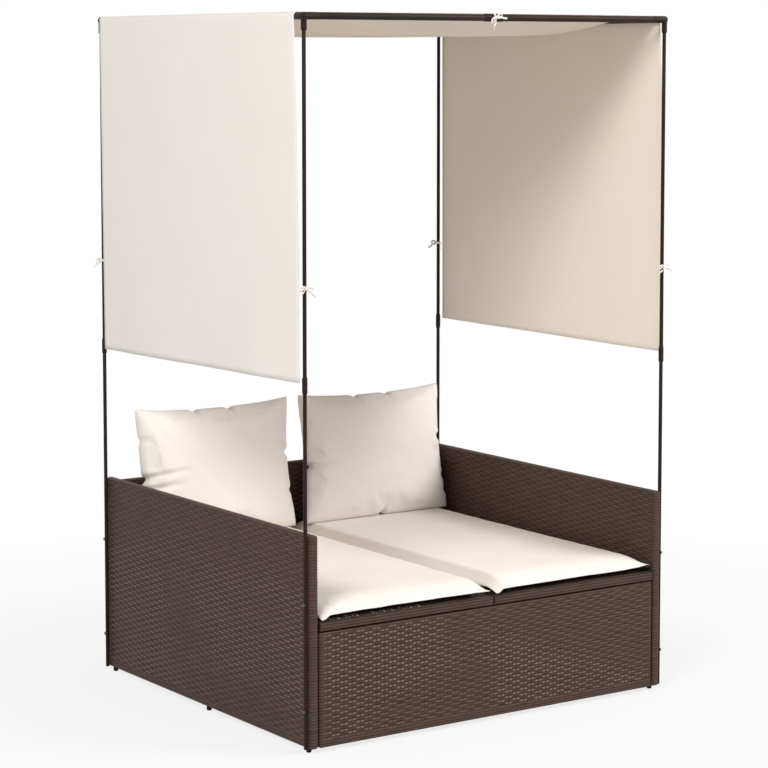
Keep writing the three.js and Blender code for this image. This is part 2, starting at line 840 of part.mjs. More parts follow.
function canopySkin(station) {
  const outer = [
    ...dropPoints(0, barAxisHeight, station),
    ...tunnelPoints(tunnelDegrees, tunnelOuter),
    ...roofPoints(0, station),
  ];
  return [...outer, ...mirrored(outer)];
}

function canopyLining(station) {
  const pocket = tunnelPoints(pocketDegrees, tunnelOuter);
  const inner = [
    ...dropPoints(clothThickness, pocket[0][1], station),
    ...pocket,
    ...roofPoints(clothThickness, station),
  ];
  return [...inner, ...mirrored(inner)].reverse();
}

function canopyLoops(station) {
  const boreDegrees = [];
  for (let side = 0; side < clothBoreSides; side += 1) {
    boreDegrees.push((-side / clothBoreSides) * fullTurn);
  }
  const bore = tunnelPoints(boreDegrees, tunnelRadius);
  const farBore = bore.map(([x, z, reach]) => [-x, z, reach]).reverse();
  return [[...canopySkin(station), ...canopyLining(station)], bore, farBore];
}

// Skin and lining split their facets along the same diagonal, so the cloth keeps its thickness.
function canopyGeometry() {
  const rows = [];
  for (let row = 0; row <= canopyStations; row += 1) {
    const spread = (2 * row) / canopyStations - 1;
    rows.push(Math.sin((spread * Math.PI) / 2));
  }
  const positions = [];
  const faces = [];
  const loopSizes = canopyLoops(0).map((loop) => loop.length);
  const skinSize = loopSizes[0] - canopyLining(0).length;
  const rowSize = loopSizes.reduce((sum, size) => sum + size);
  for (const station of rows) {
    for (const [x, z, reach] of canopyLoops(station).flat()) positions.push(x, station * reach, z);
  }
  for (let row = 0; row < rows.length - 1; row += 1) {
    let start = row * rowSize;
    for (const size of loopSizes) {
      for (let index = 0; index < size; index += 1) {
        const near = start + index;
        const next = start + ((index + 1) % size);
        const far = [near + rowSize, next + rowSize];
        const lining = start === row * rowSize && index >= skinSize;
        if (lining) faces.push(near, far[0], next, next, far[0], far[1]);
        else faces.push(near, far[0], far[1], near, far[1], next);
      }
      start += size;
    }
  }
  const lastRow = (rows.length - 1) * rowSize;
  for (const [start, station, flip] of [[0, rows[0], false], [lastRow, rows.at(-1), true]]) {
    const flat = canopyLoops(station).map((loop) => loop.map(([x, z]) => new THREE.Vector2(x, z)));
    for (const face of THREE.ShapeUtils.triangulateShape(flat[0], flat.slice(1))) {
      const corners = face.map((index) => start + index);
      faces.push(...(flip ? corners.reverse() : corners));
    }
  }
  return indexed(positions, faces);
}

addPiece("canopy", toSolid(canopyGeometry()), canopyCloth);

// Ribbon ties: a band round the shaft, a knot, and a flat bow with two loops and two tails.
// Each point of half the bow is [share of its reach sideways, share of its reach downwards].
const bowShares = [
  [0.12, -0.12],
  [0.42, -0.26],
  [0.78, -0.2],
  [0.84, -0.02],
  [0.45, 0.08],
  [1, 0.42],
  [0.92, 0.6],
  [0.1, 0.16],
];

function tieSolid(shaftRadius, axis, knotWay, spreadWay) {
  const bore = clearRadius(shaftRadius, poleSides);
  const bandRadius = bore + tieBandThickness;
  const bandStart = axis.clone().multiplyScalar(-tieBandHeight / 2);
  const knot = knotWay.clone().multiplyScalar(bandRadius + tieKnotRadius / 2);
  const ball = new THREE.SphereGeometry(tieKnotRadius, poleSides, poleSides / 2);
  ball.translate(knot.x, knot.y, knot.z);
  const half = bowShares.map(([spread, drop]) => new THREE.Vector2(spread * tieReach, -drop * tieReach));
  const otherHalf = half.map((point) => new THREE.Vector2(-point.x, point.y)).reverse();
  const bow = new THREE.ExtrudeGeometry(new THREE.Shape([...half, ...otherHalf]), {
    depth: ribbonThickness,
    bevelEnabled: false,
  });
  bow.translate(0, 0, -ribbonThickness / 2);
  const faceWay = spreadWay.clone().cross(up);
  bow.applyMatrix4(new THREE.Matrix4().makeBasis(spreadWay, up, faceWay));
  bow.translate(knot.x, knot.y, knot.z);
  const band = pipe(bandRadius, bore, tieBandHeight, poleSides, bandStart, axis);
  const clearStart = axis.clone().multiplyScalar(-tieReach * 2);
  const clear = rod(bore, tieReach * 4, poleSides, clearStart, axis);
  return cut(joined([band, toSolid(ball), toSolid(bow)]), [clear]);
}

for (const [endName, end] of ends) {
  for (const [name, side] of sides) {
    const knotWay = along(-side, 0, 0);
    const solid = tieSolid(poleRadius, up, knotWay, along(0, 1, 0));
    addPiece(`tie_${endName}_${name}`, solid, canopyCloth, along(side * poleX, end * poleY, tieHeight));
  }
  const knotWay = along(0, end, -1).normalize();
  const solid = tieSolid(sleeveRadius, along(1, 0, 0), knotWay, along(1, 0, 0));
  addPiece(`tie_bar_${endName}`, solid, canopyCloth, along(0, end * poleY, barAxisHeight));
}

export default daybed;
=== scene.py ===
import bmesh
import bpy
import numpy as np
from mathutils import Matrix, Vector


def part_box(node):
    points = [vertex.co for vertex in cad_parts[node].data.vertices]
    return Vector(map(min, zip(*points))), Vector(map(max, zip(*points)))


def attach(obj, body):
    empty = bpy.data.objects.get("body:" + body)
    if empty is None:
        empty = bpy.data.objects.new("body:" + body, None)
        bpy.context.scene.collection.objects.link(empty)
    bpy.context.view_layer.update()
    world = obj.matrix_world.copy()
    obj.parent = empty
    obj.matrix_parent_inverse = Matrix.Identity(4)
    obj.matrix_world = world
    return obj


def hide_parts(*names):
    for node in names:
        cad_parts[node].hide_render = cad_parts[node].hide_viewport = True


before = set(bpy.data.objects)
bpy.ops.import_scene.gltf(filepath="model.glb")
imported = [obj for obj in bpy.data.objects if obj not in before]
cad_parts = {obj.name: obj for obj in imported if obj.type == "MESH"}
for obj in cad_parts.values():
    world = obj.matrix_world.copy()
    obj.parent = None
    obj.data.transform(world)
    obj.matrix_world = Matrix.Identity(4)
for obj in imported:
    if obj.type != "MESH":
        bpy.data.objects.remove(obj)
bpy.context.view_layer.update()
sides = (("left", -1), ("right", 1))
ends = (("front", -1), ("rear", 1))

# The four woven walls: brown plastic strands laid in rows round a hollow tube frame.
# Each strand lies over every other upright stake, and the next row is half a step along.
# Over the tubes at the rim the strands lie flat. Each wall replaces the plain skin of the CAD.
# The bands are the distances from the rim, the bottom and the ends over which the weave sets in.
strand_pitch = 0.0085
stake_pitch = 0.027
bulge_height = 0.0017
strand_crown = 0.0013
skin_wall = 0.0045
rim_radius = 0.008
top_band = (0.005, 0.012)
bottom_band = (0.017, 0.027)
end_band = (0.013, 0.023)
hump_profile = [0.80, 1.0, 0.46, 0.1, 0.0]
strand_points = 3
crown_share = 0.11
groove_flattening = 0.6
flat_lightness = 0.45
groove_shade = 0.1
weld_distance = 2e-5
front_rise = 0.004


def add_mesh(name, points, faces, finish, smooth=True):
    """An object at the origin, from points (n, 3) and faces (m, 3 or 4), with one material."""
    mesh = bpy.data.meshes.new(name)
    mesh.from_pydata(np.asarray(points).tolist(), [], np.asarray(faces).tolist())
    mesh.materials.append(finish)
    mesh.polygons.foreach_set("use_smooth", np.full(len(mesh.polygons), smooth))
    mesh.validate()
    mesh.update()
    piece = bpy.data.objects.new(name, mesh)
    bpy.context.scene.collection.objects.link(piece)
    return piece


def grid_faces(rows, columns, round_columns=False):
    """The quads of a grid of points: each row joined to the next, and closed where it goes round."""
    row = np.arange(rows - 1)
    column = np.arange(columns if round_columns else columns - 1)
    row, column = (part.ravel() for part in np.meshgrid(row, column, indexing="ij"))
    next_column = (column + 1) % columns
    corners = (row, column), (row, next_column), (row + 1, next_column), (row + 1, column)
    return np.stack([a * columns + b for a, b in corners], axis=1)


def box_of(node):
    """The lowest and the highest corner of a CAD node, and the point between."""
    low, high = (np.array(corner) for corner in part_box(node))
    return low, high, (low + high) / 2


def thicken(piece, thickness, offset):
    """Gives a sheet its thickness with a live modifier."""
    shell = piece.modifiers.new("thickness", "SOLIDIFY")
    shell.thickness = thickness
    shell.offset = offset
    return shell


def add_values(piece, name, values):
    """One number for each point of a piece, for its material to read."""
    attribute = piece.data.attributes.new(name, "FLOAT", "POINT")
    attribute.data.foreach_set("value", np.asarray(values, np.float32).ravel())


def step_between(low, high, value):
    """0 below low and 1 above high, with a smooth rise between."""
    share = np.clip((value - low) / (high - low), 0, 1)
    return share * share * (3 - 2 * share)


def new_finish(name, colour, roughness, metallic=0.0, specular=0.5):
    """A material and its shader, with the plain values set on the shader's own sockets."""
    finish = bpy.data.materials.new(name)
    finish.use_nodes = True
    shader = finish.node_tree.nodes["Principled BSDF"]
    shader.inputs["Base Color"].default_value = (*colour, 1)
    shader.inputs["Roughness"].default_value = roughness
    shader.inputs["Metallic"].default_value = metallic
    shader.inputs["Specular IOR Level"].default_value = specular
    return finish, shader


def wire(finish, kind, sockets=None, **settings):
    """A shader node with its settings, and each named socket given a value or a link."""
    node = finish.node_tree.nodes.new(kind)
    for key, value in settings.items():
        setattr(node, key, value)
    for key, value in (sockets or {}).items():
        if isinstance(value, bpy.types.NodeSocket):
            finish.node_tree.links.new(value, node.inputs[key])
        else:
            node.inputs[key].default_value = value
    return node


def object_noise(finish, stretch, scale, detail=3.0):
    """Noise on Object coordinates, stretched by three factors."""
    place = wire(finish, "ShaderNodeTexCoord")
    spread = wire(finish, "ShaderNodeMapping", {"Vector": place.outputs["Object"], "Scale": stretch})
    sockets = {"Vector": spread.outputs["Vector"], "Scale": scale, "Detail": detail}
    return wire(finish, "ShaderNodeTexNoise", sockets).outputs["Fac"]


def colour_steps(finish, factor, steps):
    """The colour of a ramp with a colour at each of its places."""
    ramp = wire(finish, "ShaderNodeValToRGB", {"Fac": factor})
    while len(ramp.color_ramp.elements) < len(steps):
        ramp.color_ramp.elements.new(0.5)
    for element, (place, colour) in zip(ramp.color_ramp.elements, steps):
        element.position = place
        element.color = (*colour, 1)
    return ramp.outputs["Color"]


def colour_maths(finish, operation, first, second):
    """The result of one arithmetic node on two colours."""
    node = wire(finish, "ShaderNodeVectorMath", {0: first, 1: second}, operation=operation)
    return node.outputs["Vector"]


def own_share(finish, name):
    """The number that each point of a piece has under a name."""
    return wire(finish, "ShaderNodeAttribute", attribute_name=name).outputs["Fac"]


def link_to(finish, shader, name, socket):
    """Links a value to one of the shader's sockets."""
    finish.node_tree.links.new(socket, shader.inputs[name])


def maths(finish, operation, *values):
    """The result of one arithmetic node on sockets or numbers."""
    return wire(finish, "ShaderNodeMath", dict(enumerate(values)), operation=operation).outputs[0]


def gap_between(finish, first, second):
    """How far one value is from another, whichever is larger."""
    return maths(finish, "ABSOLUTE", maths(finish, "SUBTRACT", first, second))


def fade_between(finish, value, start, end, low=0.0, high=1.0):
    """A smooth change from low at start to high at end."""
    sockets = {"Value": value, "From Min": start, "From Max": end, "To Min": low, "To Max": high}
    return wire(finish, "ShaderNodeMapRange", sockets, interpolation_type="SMOOTHSTEP").outputs["Result"]


def scaled(finish, colour, factor):
    """A colour, as a socket or three numbers, times a factor."""
    node = wire(finish, "ShaderNodeVectorMath", {0: colour, "Scale": factor}, operation="SCALE")
    return node.outputs["Vector"]


def rough_surface(finish, shader, height, strength, distance):
    """A bump from a height, on the shader's normal."""
    sockets = {"Height": height, "Strength": strength, "Distance": distance}
    link_to(finish, shader, "Normal", wire(finish, "ShaderNodeBump", sockets).outputs["Normal"])


weave_crown_highlight = (0.105, 0.066, 0.055)
weave_flat = (0.086, 0.053, 0.044)
weave_dip_shade = (0.060, 0.036, 0.030)
weave_glint = (0.145, 0.128, 0.120)
weave_roughness = 0.5
weave_specular = 0.12
tone_stretch = (1.0, 1.0, 9.0)
tone_scale = 14.0
grain_stretch = (1.0, 1.0, 6.0)
grain_scale = 420.0
grain_strength = 0.25
grain_depth = 0.0006
weave, weave_shader = new_finish("strand_plastic", weave_flat, weave_roughness, specular=weave_specular)
# The relief share paints light and shade on the strands: painted shade in the dips behind the stakes and in
# the grooves, and a painted highlight on the raised crowns.
painted_relief_steps = [(0.0, weave_dip_shade), (0.5, weave_flat), (1.0, weave_crown_highlight)]
depth = colour_steps(weave, own_share(weave, "painted_relief"), painted_relief_steps)
tone_steps = [(0.3, (0.8, 0.8, 0.81)), (0.7, (1.14, 1.12, 1.1))]
tone = colour_steps(weave, object_noise(weave, tone_stretch, tone_scale), tone_steps)
weave_colour = colour_maths(weave, "MULTIPLY", depth, tone)

# Painted shade darkens each strand along both edges, and a painted highlight lights two small spots beside
# each stake. The spots come in patches, mostly low down and towards the left. A woven share well above 1,
# which only the seat decks have, paints the spots there whatever the patch.
glint_place = 0.27
glint_along = (0.17, 0.05)
glint_across = (0.34, 0.08)
glint_limit = 6.2
patch_stretch = (1.0, 1.0, 1.6)
patch_scale = 2.4
patch_steps = (0.38, 0.56, 0.15)
lit_slope = 0.35
lit_steps = (0.32, 0.19, 0.1)
deck_mark = 1.1
edge_shade_steps = (0.50, 0.30, 0.38, 1.0)
strand, stake, woven_share = (own_share(weave, name) for name in ("strand", "stake", "woven"))
stake_place = maths(weave, "ADD", stake, maths(weave, "FLOOR", strand))
turn_place = maths(weave, "FLOORED_MODULO", stake_place, 2.0)
from_stake = gap_between(weave, turn_place, 1.0)
from_spot = gap_between(weave, from_stake, glint_place)
off_middle = gap_between(weave, maths(weave, "FRACT", strand), 0.5)
spot_along = fade_between(weave, from_spot, *glint_along)
spot_across = fade_between(weave, off_middle, *glint_across)
patch_noise = object_noise(weave, patch_stretch, patch_scale, detail=2.0)
glint_patches = fade_between(weave, patch_noise, *patch_steps)
weave_place = wire(weave, "ShaderNodeTexCoord")
where = wire(weave, "ShaderNodeSeparateXYZ", {"Vector": weave_place.outputs["Object"]})
leftward = maths(weave, "MULTIPLY", where.outputs["X"], lit_slope)
lit_reach = maths(weave, "ADD", where.outputs["Z"], leftward)
glint_patches = maths(weave, "MULTIPLY", glint_patches, fade_between(weave, lit_reach, *lit_steps))
glint_patches = maths(weave, "MAXIMUM", glint_patches, maths(weave, "SUBTRACT", woven_share, deck_mark))
glint = maths(weave, "MULTIPLY", maths(weave, "MULTIPLY", spot_along, spot_across), woven_share)
glint = maths(weave, "MINIMUM", maths(weave, "MULTIPLY", glint, glint_patches), glint_limit)
strand_edge_shade = fade_between(weave, off_middle, *edge_shade_steps)
lit_spots = scaled(weave, weave_glint, glint)
strand_colour = scaled(weave, weave_colour, strand_edge_shade)
link_to(weave, weave_shader, "Base Color", colour_maths(weave, "ADD", strand_colour, lit_spots))
strand_grain = object_noise(weave, grain_stretch, grain_scale, detail=2.0)
rough_surface(weave, weave_shader, strand_grain, grain_strength, grain_depth)


def wall_outline(half_length, half_depth, radius):
    """Round a long thin rectangle with round corners: core points, and each point's outward way. A point
    of the outline is its core point plus the radius times its outward way."""
    quarter_stake = stake_pitch / 4
    long_reach, end_reach = half_length - radius, half_depth - radius
    inside = np.arange(1, int(long_reach / quarter_stake)) * quarter_stake
    half_face = np.concatenate([inside, [long_reach]])
    face = np.concatenate([-half_face[::-1], [0], half_face])
    end = np.linspace(-end_reach, end_reach, 3)
    long_side = np.stack([face, np.full_like(face, -end_reach)], axis=1)
    end_side = np.stack([np.full_like(end, long_reach), end], axis=1)
    turn = np.linspace(0, np.pi / 2, 4)[1:-1]
    core, outward = [], []
    for number, line in enumerate((long_side, end_side, -long_side, -end_side)):
        angle = (number - 1) * np.pi / 2
        core += [line, np.tile(line[-1], (len(turn), 1))]
        outward.append(np.tile(np.round([np.cos(angle), np.sin(angle)]), (len(line), 1)))
        outward.append(np.stack([np.cos(angle + turn), np.sin(angle + turn)], axis=1))
    return np.concatenate(core), np.concatenate(outward)


def wall_path(half_depth, bottom, top, radius, hollow):
    """Up the outside of a wall and over its rim to the middle line: inset, height, and the way out, three
    points to each strand. A hollow wall also has its inner skin, open below; a full one is closed below."""
    turn = np.linspace(0, np.pi / 2, 7)
    over = np.stack([radius * (1 - np.cos(turn)), top - radius * (1 - np.sin(turn))], axis=1)
    if hollow:
        lip = skin_wall * 0.3
        start = [[lip, bottom], [0, bottom + lip]]
    else:
        under = np.stack([over[::-1, 0], bottom + top - over[::-1, 1]], axis=1)
        start = [[half_depth, bottom], *under.tolist()]
    line = np.array([*start, *over.tolist(), [half_depth, top]])
    run = np.concatenate([[0], np.cumsum(np.linalg.norm(np.diff(line, axis=0), axis=1))])
    strands = max(int(round(run[-1] / strand_pitch)), 2)
    place = np.linspace(0, run[-1], strands * strand_points + 1)
    inset, height = (np.interp(place, run, line[:, axis]) for axis in (0, 1))
    rise, shift = np.gradient(height, place), np.gradient(inset, place)
    way = np.stack([rise, shift], axis=1) / np.hypot(rise, shift)[:, None]
    inner = np.zeros((0, 2))
    if hollow:
        inner = np.array([[half_depth, top - skin_wall], [skin_wall, top - skin_wall], [skin_wall, bottom]])
    inset, height = np.concatenate([inner, np.stack([inset, height], axis=1)]).T
    way = np.concatenate([np.tile([1.0, 0.0], (len(inner), 1)), way])
    number = np.arange(-len(inner), len(place))
    skin = (number >= 0) * 1.0
    groove = (number >= 0) & (number % strand_points == 0)
    row = np.maximum(number, 0) // strand_points
    strand_place = np.where(number >= 0, number / strand_points, 0.5)
    return inset, height, way, groove, row, skin, strand_place


def weld(piece):
    """Joins the points that fall together at seams and poles, and turns every face outwards."""
    shape = bmesh.new()
    shape.from_mesh(piece.data)
    bmesh.ops.remove_doubles(shape, verts=shape.verts, dist=weld_distance)
    bmesh.ops.recalc_face_normals(shape, faces=shape.faces)
    shape.to_mesh(piece.data)
    shape.free()


def woven_wall(name, middle, along_y, half_length, half_depth, bottom, top, radius=rim_radius, hollow=True):
    """A wall of strands. How far the surface lies in is a crown across each strand plus a dip where the
    strand goes behind a stake. It repeats every two stakes along the wall, half a turn on from row to row,
    and stands highest on both sides of the stake that it crosses."""
    core, outward = wall_outline(half_length, half_depth, radius)
    inset, height, way, groove, row, skin, strand_place = wall_path(half_depth, bottom, top, radius, hollow)
    limit = np.stack([half_length - inset, half_depth - inset], axis=1)[:, None, :]
    round_left = np.clip(radius - inset, 0, None)[:, None, None]
    flat = np.clip(core[None], -limit, limit) + round_left * outward[None]
    phase = (core[:, 0] / stake_pitch)[None] + row[:, None]
    away = np.abs(phase % 2 - 1)
    front = np.interp(away, np.linspace(0, 1, 5), hump_profile)
    on_face = np.abs(outward[:, 1]) > 0.9
    to_end = np.where(on_face, half_length - np.abs(core[:, 0]), 0)
    woven = step_between(*end_band, to_end)[None] * step_between(*bottom_band, height - bottom)[:, None]
    woven = woven * step_between(*top_band, top - height)[:, None]
    valley = np.where(groove, 1.0, crown_share)[:, None]
    behind = 1 - front * (1 - groove_flattening * groove[:, None])
    dip = bulge_height * woven * behind + strand_crown * valley
    # Painted light and shade: the raised parts of a strand lighter, its grooves darker, and the flat bands at
    # the rim in between.
    painted_lightness = woven * front + flat_lightness * (1 - woven) - groove_shade * groove[:, None]
    dip = dip * skin[:, None]
    x, y = (flat[..., axis] - dip * way[:, :1] * outward[None, :, axis] for axis in (0, 1))
    z = height[:, None] - dip * way[:, 1:] + np.zeros_like(x)
    if along_y:
        x, y = -y, x
    points = np.stack([x + middle[0], y + middle[1], z], axis=-1)
    piece = add_mesh(name, points.reshape(-1, 3), grid_faces(*x.shape, round_columns=True), weave)
    add_values(piece, "painted_relief", np.clip(painted_lightness, 0, 1))
    add_values(piece, "woven", woven * skin[:, None])
    add_values(piece, "strand", strand_place[:, None] + 0 * x)
    add_values(piece, "stake", core[:, 0] / stake_pitch + 0 * x)
    weld(piece)
    return piece


def settle(piece, body, slot, *nodes):
    """The piece rides on its body and stands for its CAD nodes. Its slot is not used."""
    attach(piece, body)
    if nodes:
        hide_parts(*nodes)


for name in ("side_left", "side_right", "front", "back"):
    low, high, middle = box_of(f"weave_{name}")
    half = (high - low) / 2
    along_y = name.startswith("side")
    half_length, half_depth = (half[1], half[0]) if along_y else (half[0], half[1])
    top = high[2] + (front_rise if name == "front" else 0)
    wall = woven_wall(f"woven_{name}", middle, along_y, half_length, half_depth, low[2], top)
    settle(wall, "daybed", "weave", f"weave_{name}")

# The seat sections: a square tube ring each, its front rail wrapped in strands down to the front wall,
# with an open weave of flat strands stretched across it. The deck strands take the darkest relief colour as
# painted shade under the pads, and painted light spots on them stand for the light that comes up through
# the small holes in front of the left pad. The rings themselves are the CAD's.
deck_strand = 0.0058
deck_stake = 0.0078
deck_step = 0.015
deck_wave = 0.0011
deck_strand_thickness = 0.0013
deck_shade_lightness = 0.05
rail_length = 0.5905
rail_depth = 0.020
rail_cover = 0.0006
rail_corner = 0.004
rail_clear = 0.0062
rail_seam = 0.0015
glint_step = 0.0064
glint_groups = [(-0.545, -0.485), (-0.472, -0.435), (-0.400, -0.335), (-0.300, -0.225)]
glint_edge = 0.008
glint_strip = (-0.525, -0.537)
glint_share = 8.0
stake_end = 0.001


def deck_ribbons(low, high):
    """Flat strands both ways. The cross strands wave over and under the straight stakes as a cosine of
    the place along, half a turn on from row to row."""
    xs = np.arange(low[0], high[0], deck_step / 2)
    ys = np.arange(low[1] + strand_pitch / 2, high[1] - strand_pitch / 2, strand_pitch)
    middle = (low[2] + high[2]) / 2
    row = np.arange(len(ys))[:, None, None]
    side = np.array([-0.5, 0.5])[None, :, None] * deck_strand
    x = np.broadcast_to(xs[None, None], (len(ys), 2, len(xs)))
    y = np.broadcast_to(ys[:, None, None] + side, x.shape)
    z = middle + deck_wave * np.cos(np.pi * (x - low[0]) / deck_step + np.pi * row)
    cross = np.stack([x, y, z], axis=-1).reshape(-1, 3)
    strip = grid_faces(2, len(xs))
    cross_faces = (strip[None] + (np.arange(len(ys)) * 2 * len(xs))[:, None, None]).reshape(-1, 4)
    stakes = np.arange(low[0] + deck_step, high[0] - deck_step / 2, deck_step)
    edge = np.stack([stakes - deck_stake / 2, stakes + deck_stake / 2], axis=1)
    corners = [np.stack([edge[:, a], np.full(len(stakes), b), np.full(len(stakes), middle)], axis=1)
               for a, b in ((0, low[1]), (1, low[1]), (1, high[1]), (0, high[1]))]
    stake_points = np.stack(corners, axis=1).reshape(-1, 3)
    stake_faces = np.arange(len(stake_points)).reshape(-1, 4) + len(cross)
    return np.concatenate([cross, stake_points]), np.concatenate([cross_faces, stake_faces])


for side, sign in sides:
    node = f"seat_deck_{side}"
    low, high, _ = box_of(node)
    deck = add_mesh(f"seat_web_{side}", *deck_ribbons(low, high), weave, smooth=False)
    thicken(deck, deck_strand_thickness, 0)
    settle(deck, "daybed", "weave", node)
    place = np.array([vertex.co for vertex in deck.data.vertices])
    across, along = place[:, 0], place[:, 1]
    in_group = np.max([step_between(a - glint_edge, a, across) * step_between(b + glint_edge, b, across)
                       for a, b in glint_groups], axis=0)
    in_group = in_group * step_between(*glint_strip, along) * (along > low[1] + stake_end)
    # Painted shade over the whole deck, and painted light spots in the groups near its front edge.
    add_values(deck, "painted_relief", np.full(len(place), deck_shade_lightness))
    add_values(deck, "strand", (along - low[1]) / strand_pitch / 2 + 0.25)
    add_values(deck, "stake", (across - low[0]) / glint_step)
    add_values(deck, "woven", glint_share * in_group)

    ring_low, ring_high, _ = box_of(f"seat_frame_{side}")
    middle = (sign * (rail_seam + rail_length / 2), ring_low[1] + rail_depth / 2 - rail_cover / 2, 0)
    rail = woven_wall(f"seat_rail_{side}", middle, False, rail_length / 2, rail_depth / 2 + rail_cover,
                      ring_low[2] + rail_clear, ring_high[2] + rail_cover, radius=rail_corner, hollow=False)
    settle(rail, "daybed", "weave")

# The seat pads: two knife-edged foam pads in cream cloth, lying on the seat sections side by side.
# Their sides fall away to a seam a little above the seat, the cloth puckers along it, and each
# front corner ends in a small ear.
pad_grid = (65, 115)
soft_lengths = (0.16, 0.42)
seam_waves = (14, 46)
seam_rise = 0.0165
crown_run = 0.055
inner_run = 0.032
front_run = 0.110
under_run = 0.028
front_under = (0.045, 0.115)
front_setback = 0.006
rear_setback = 0.006
ear_band = (0.87, 0.95)
ear_power = 34
ear_reach = 0.012
ear_widening = 0.0035
seam_draw = 0.0035
side_draw = 0.004
seam_wander = 0.0012
end_wander = 0.0014
front_bow = 0.006
crown_wander = 0.0012
outer_lift = {"left": -0.002, "right": 0.004}
ear_droop = {"left": (-0.009, 0.002), "right": (-0.009, 0.008)}
front_droop = 0.003
front_power = 0.85
side_power = 0.65
flank_run = 0.046
flank_power = 0.9
# Where the painted shade on the right pad's inner flank lies, and how deep it is from front to rear.
flank_band = (0.048, 0.040)
flank_shade = (0.75, 0.25)
under_dip = 0.0006
dent_place, dent_size, dent_depth = (-0.86, -0.90), (0.10, 0.045), 0.007
cloth_mass = 0.2
cloth_stretch = 25
cloth_shear = 8
cloth_bending = 0.15
pad_swell = 0.0040
pad_frames = 16
pad_pressure = 3.0
cloth_specular = 0.2
cloth_roughness = 0.9
cloth_sheen = 0.12
thread_strength = 0.12
thread_depth = 0.0004
shaded_cloth = (0.80, 0.765, 0.72)
broad_scale = 5.0
even = (1.0, 1.0, 1.0)


def cloth_finish(name, colour, weft_scale, tone_depth, shade="painted_flank_shade"):
    """Plain woven cloth: warp and weft as fine crossed waves, and faint broad changes of tone. Painted shade
    makes it a little darker where the piece's own share of shade says so."""
    finish, shader = new_finish(name, colour, cloth_roughness, specular=cloth_specular)
    shader.inputs["Sheen Weight"].default_value = cloth_sheen
    shader.inputs["Sheen Roughness"].default_value = 0.5
    broad = object_noise(finish, even, broad_scale, detail=2.0)
    low_tone = tuple(part * (1 - tone_depth) for part in colour)
    high_tone = tuple(min(part * (1 + tone_depth * 0.5), 1.0) for part in colour)
    tones = colour_steps(finish, broad, [(0.3, low_tone), (0.7, high_tone)])
    painted_shade = colour_steps(finish, own_share(finish, shade), [(0.0, even), (1.0, shaded_cloth)])
    link_to(finish, shader, "Base Color", colour_maths(finish, "MULTIPLY", tones, painted_shade))
    place = wire(finish, "ShaderNodeTexCoord")
    waves = []
    for way in "XYZ":
        sockets = {"Vector": place.outputs["Object"], "Scale": weft_scale, "Distortion": 0.6, "Detail": 1.0}
        waves.append(wire(finish, "ShaderNodeTexWave", sockets, bands_direction=way).outputs["Fac"])
    threads = maths(finish, "MAXIMUM", maths(finish, "MAXIMUM", waves[0], waves[1]), waves[2])
    rough_surface(finish, shader, threads, thread_strength, thread_depth)
    return finish


pad_cloth = cloth_finish("pad_cloth_cream", (0.905, 0.853, 0.80), 260.0, 0.025)


def fullness(distance, run, power=0.5):
    """0 at the seam and 1 from a given distance on: a quarter ellipse, or a parabola where the power is 1."""
    share = 1 - np.clip(distance / run, 0, 1)
    return np.clip(1 - share ** 2, 0, 1) ** power


def swell(piece, frames, most, pressure):
    """A cloth simulation: the filling presses outwards on all sides and the cloth keeps its lengths, so it
    puckers along its seams. The moves level off at a given length."""
    start = np.empty(len(piece.data.vertices) * 3, np.float32)
    piece.data.vertices.foreach_get("co", start)
    cloth = piece.modifiers.new("filling", "CLOTH")
    cloth.settings.quality = 6
    cloth.settings.mass = cloth_mass
    cloth.settings.tension_stiffness = cloth.settings.compression_stiffness = cloth_stretch
    cloth.settings.shear_stiffness = cloth_shear
    cloth.settings.bending_stiffness = cloth_bending
    cloth.settings.use_pressure = True
    cloth.settings.uniform_pressure_force = pressure
    cloth.settings.effector_weights.gravity = 0
    cloth.collision_settings.use_collision = False
    cloth.point_cache.frame_end = frames
    for number in range(1, frames + 1):
        bpy.context.scene.frame_set(number)
    swollen = piece.evaluated_get(bpy.context.evaluated_depsgraph_get()).to_mesh()
    end = np.empty_like(start)
    swollen.vertices.foreach_get("co", end)
    piece.modifiers.remove(cloth)
    bpy.context.scene.frame_set(1)
    move = (end - start).reshape(-1, 3)
    length = np.linalg.norm(move, axis=1, keepdims=True)
    return start.reshape(-1, 3), move * most * np.tanh(length / most) / np.maximum(length, 1e-9)


def put_points(piece, points):
    """New places for the points of a piece."""
    piece.data.vertices.foreach_set("co", np.ascontiguousarray(points, np.float32).ravel())
    piece.data.update()


def finish_soft(piece):
    """One live subdivision, which rounds the facets of a soft piece."""
    smooth = piece.modifiers.new("smooth", "SUBSURF")
    smooth.levels = smooth.render_levels = 1


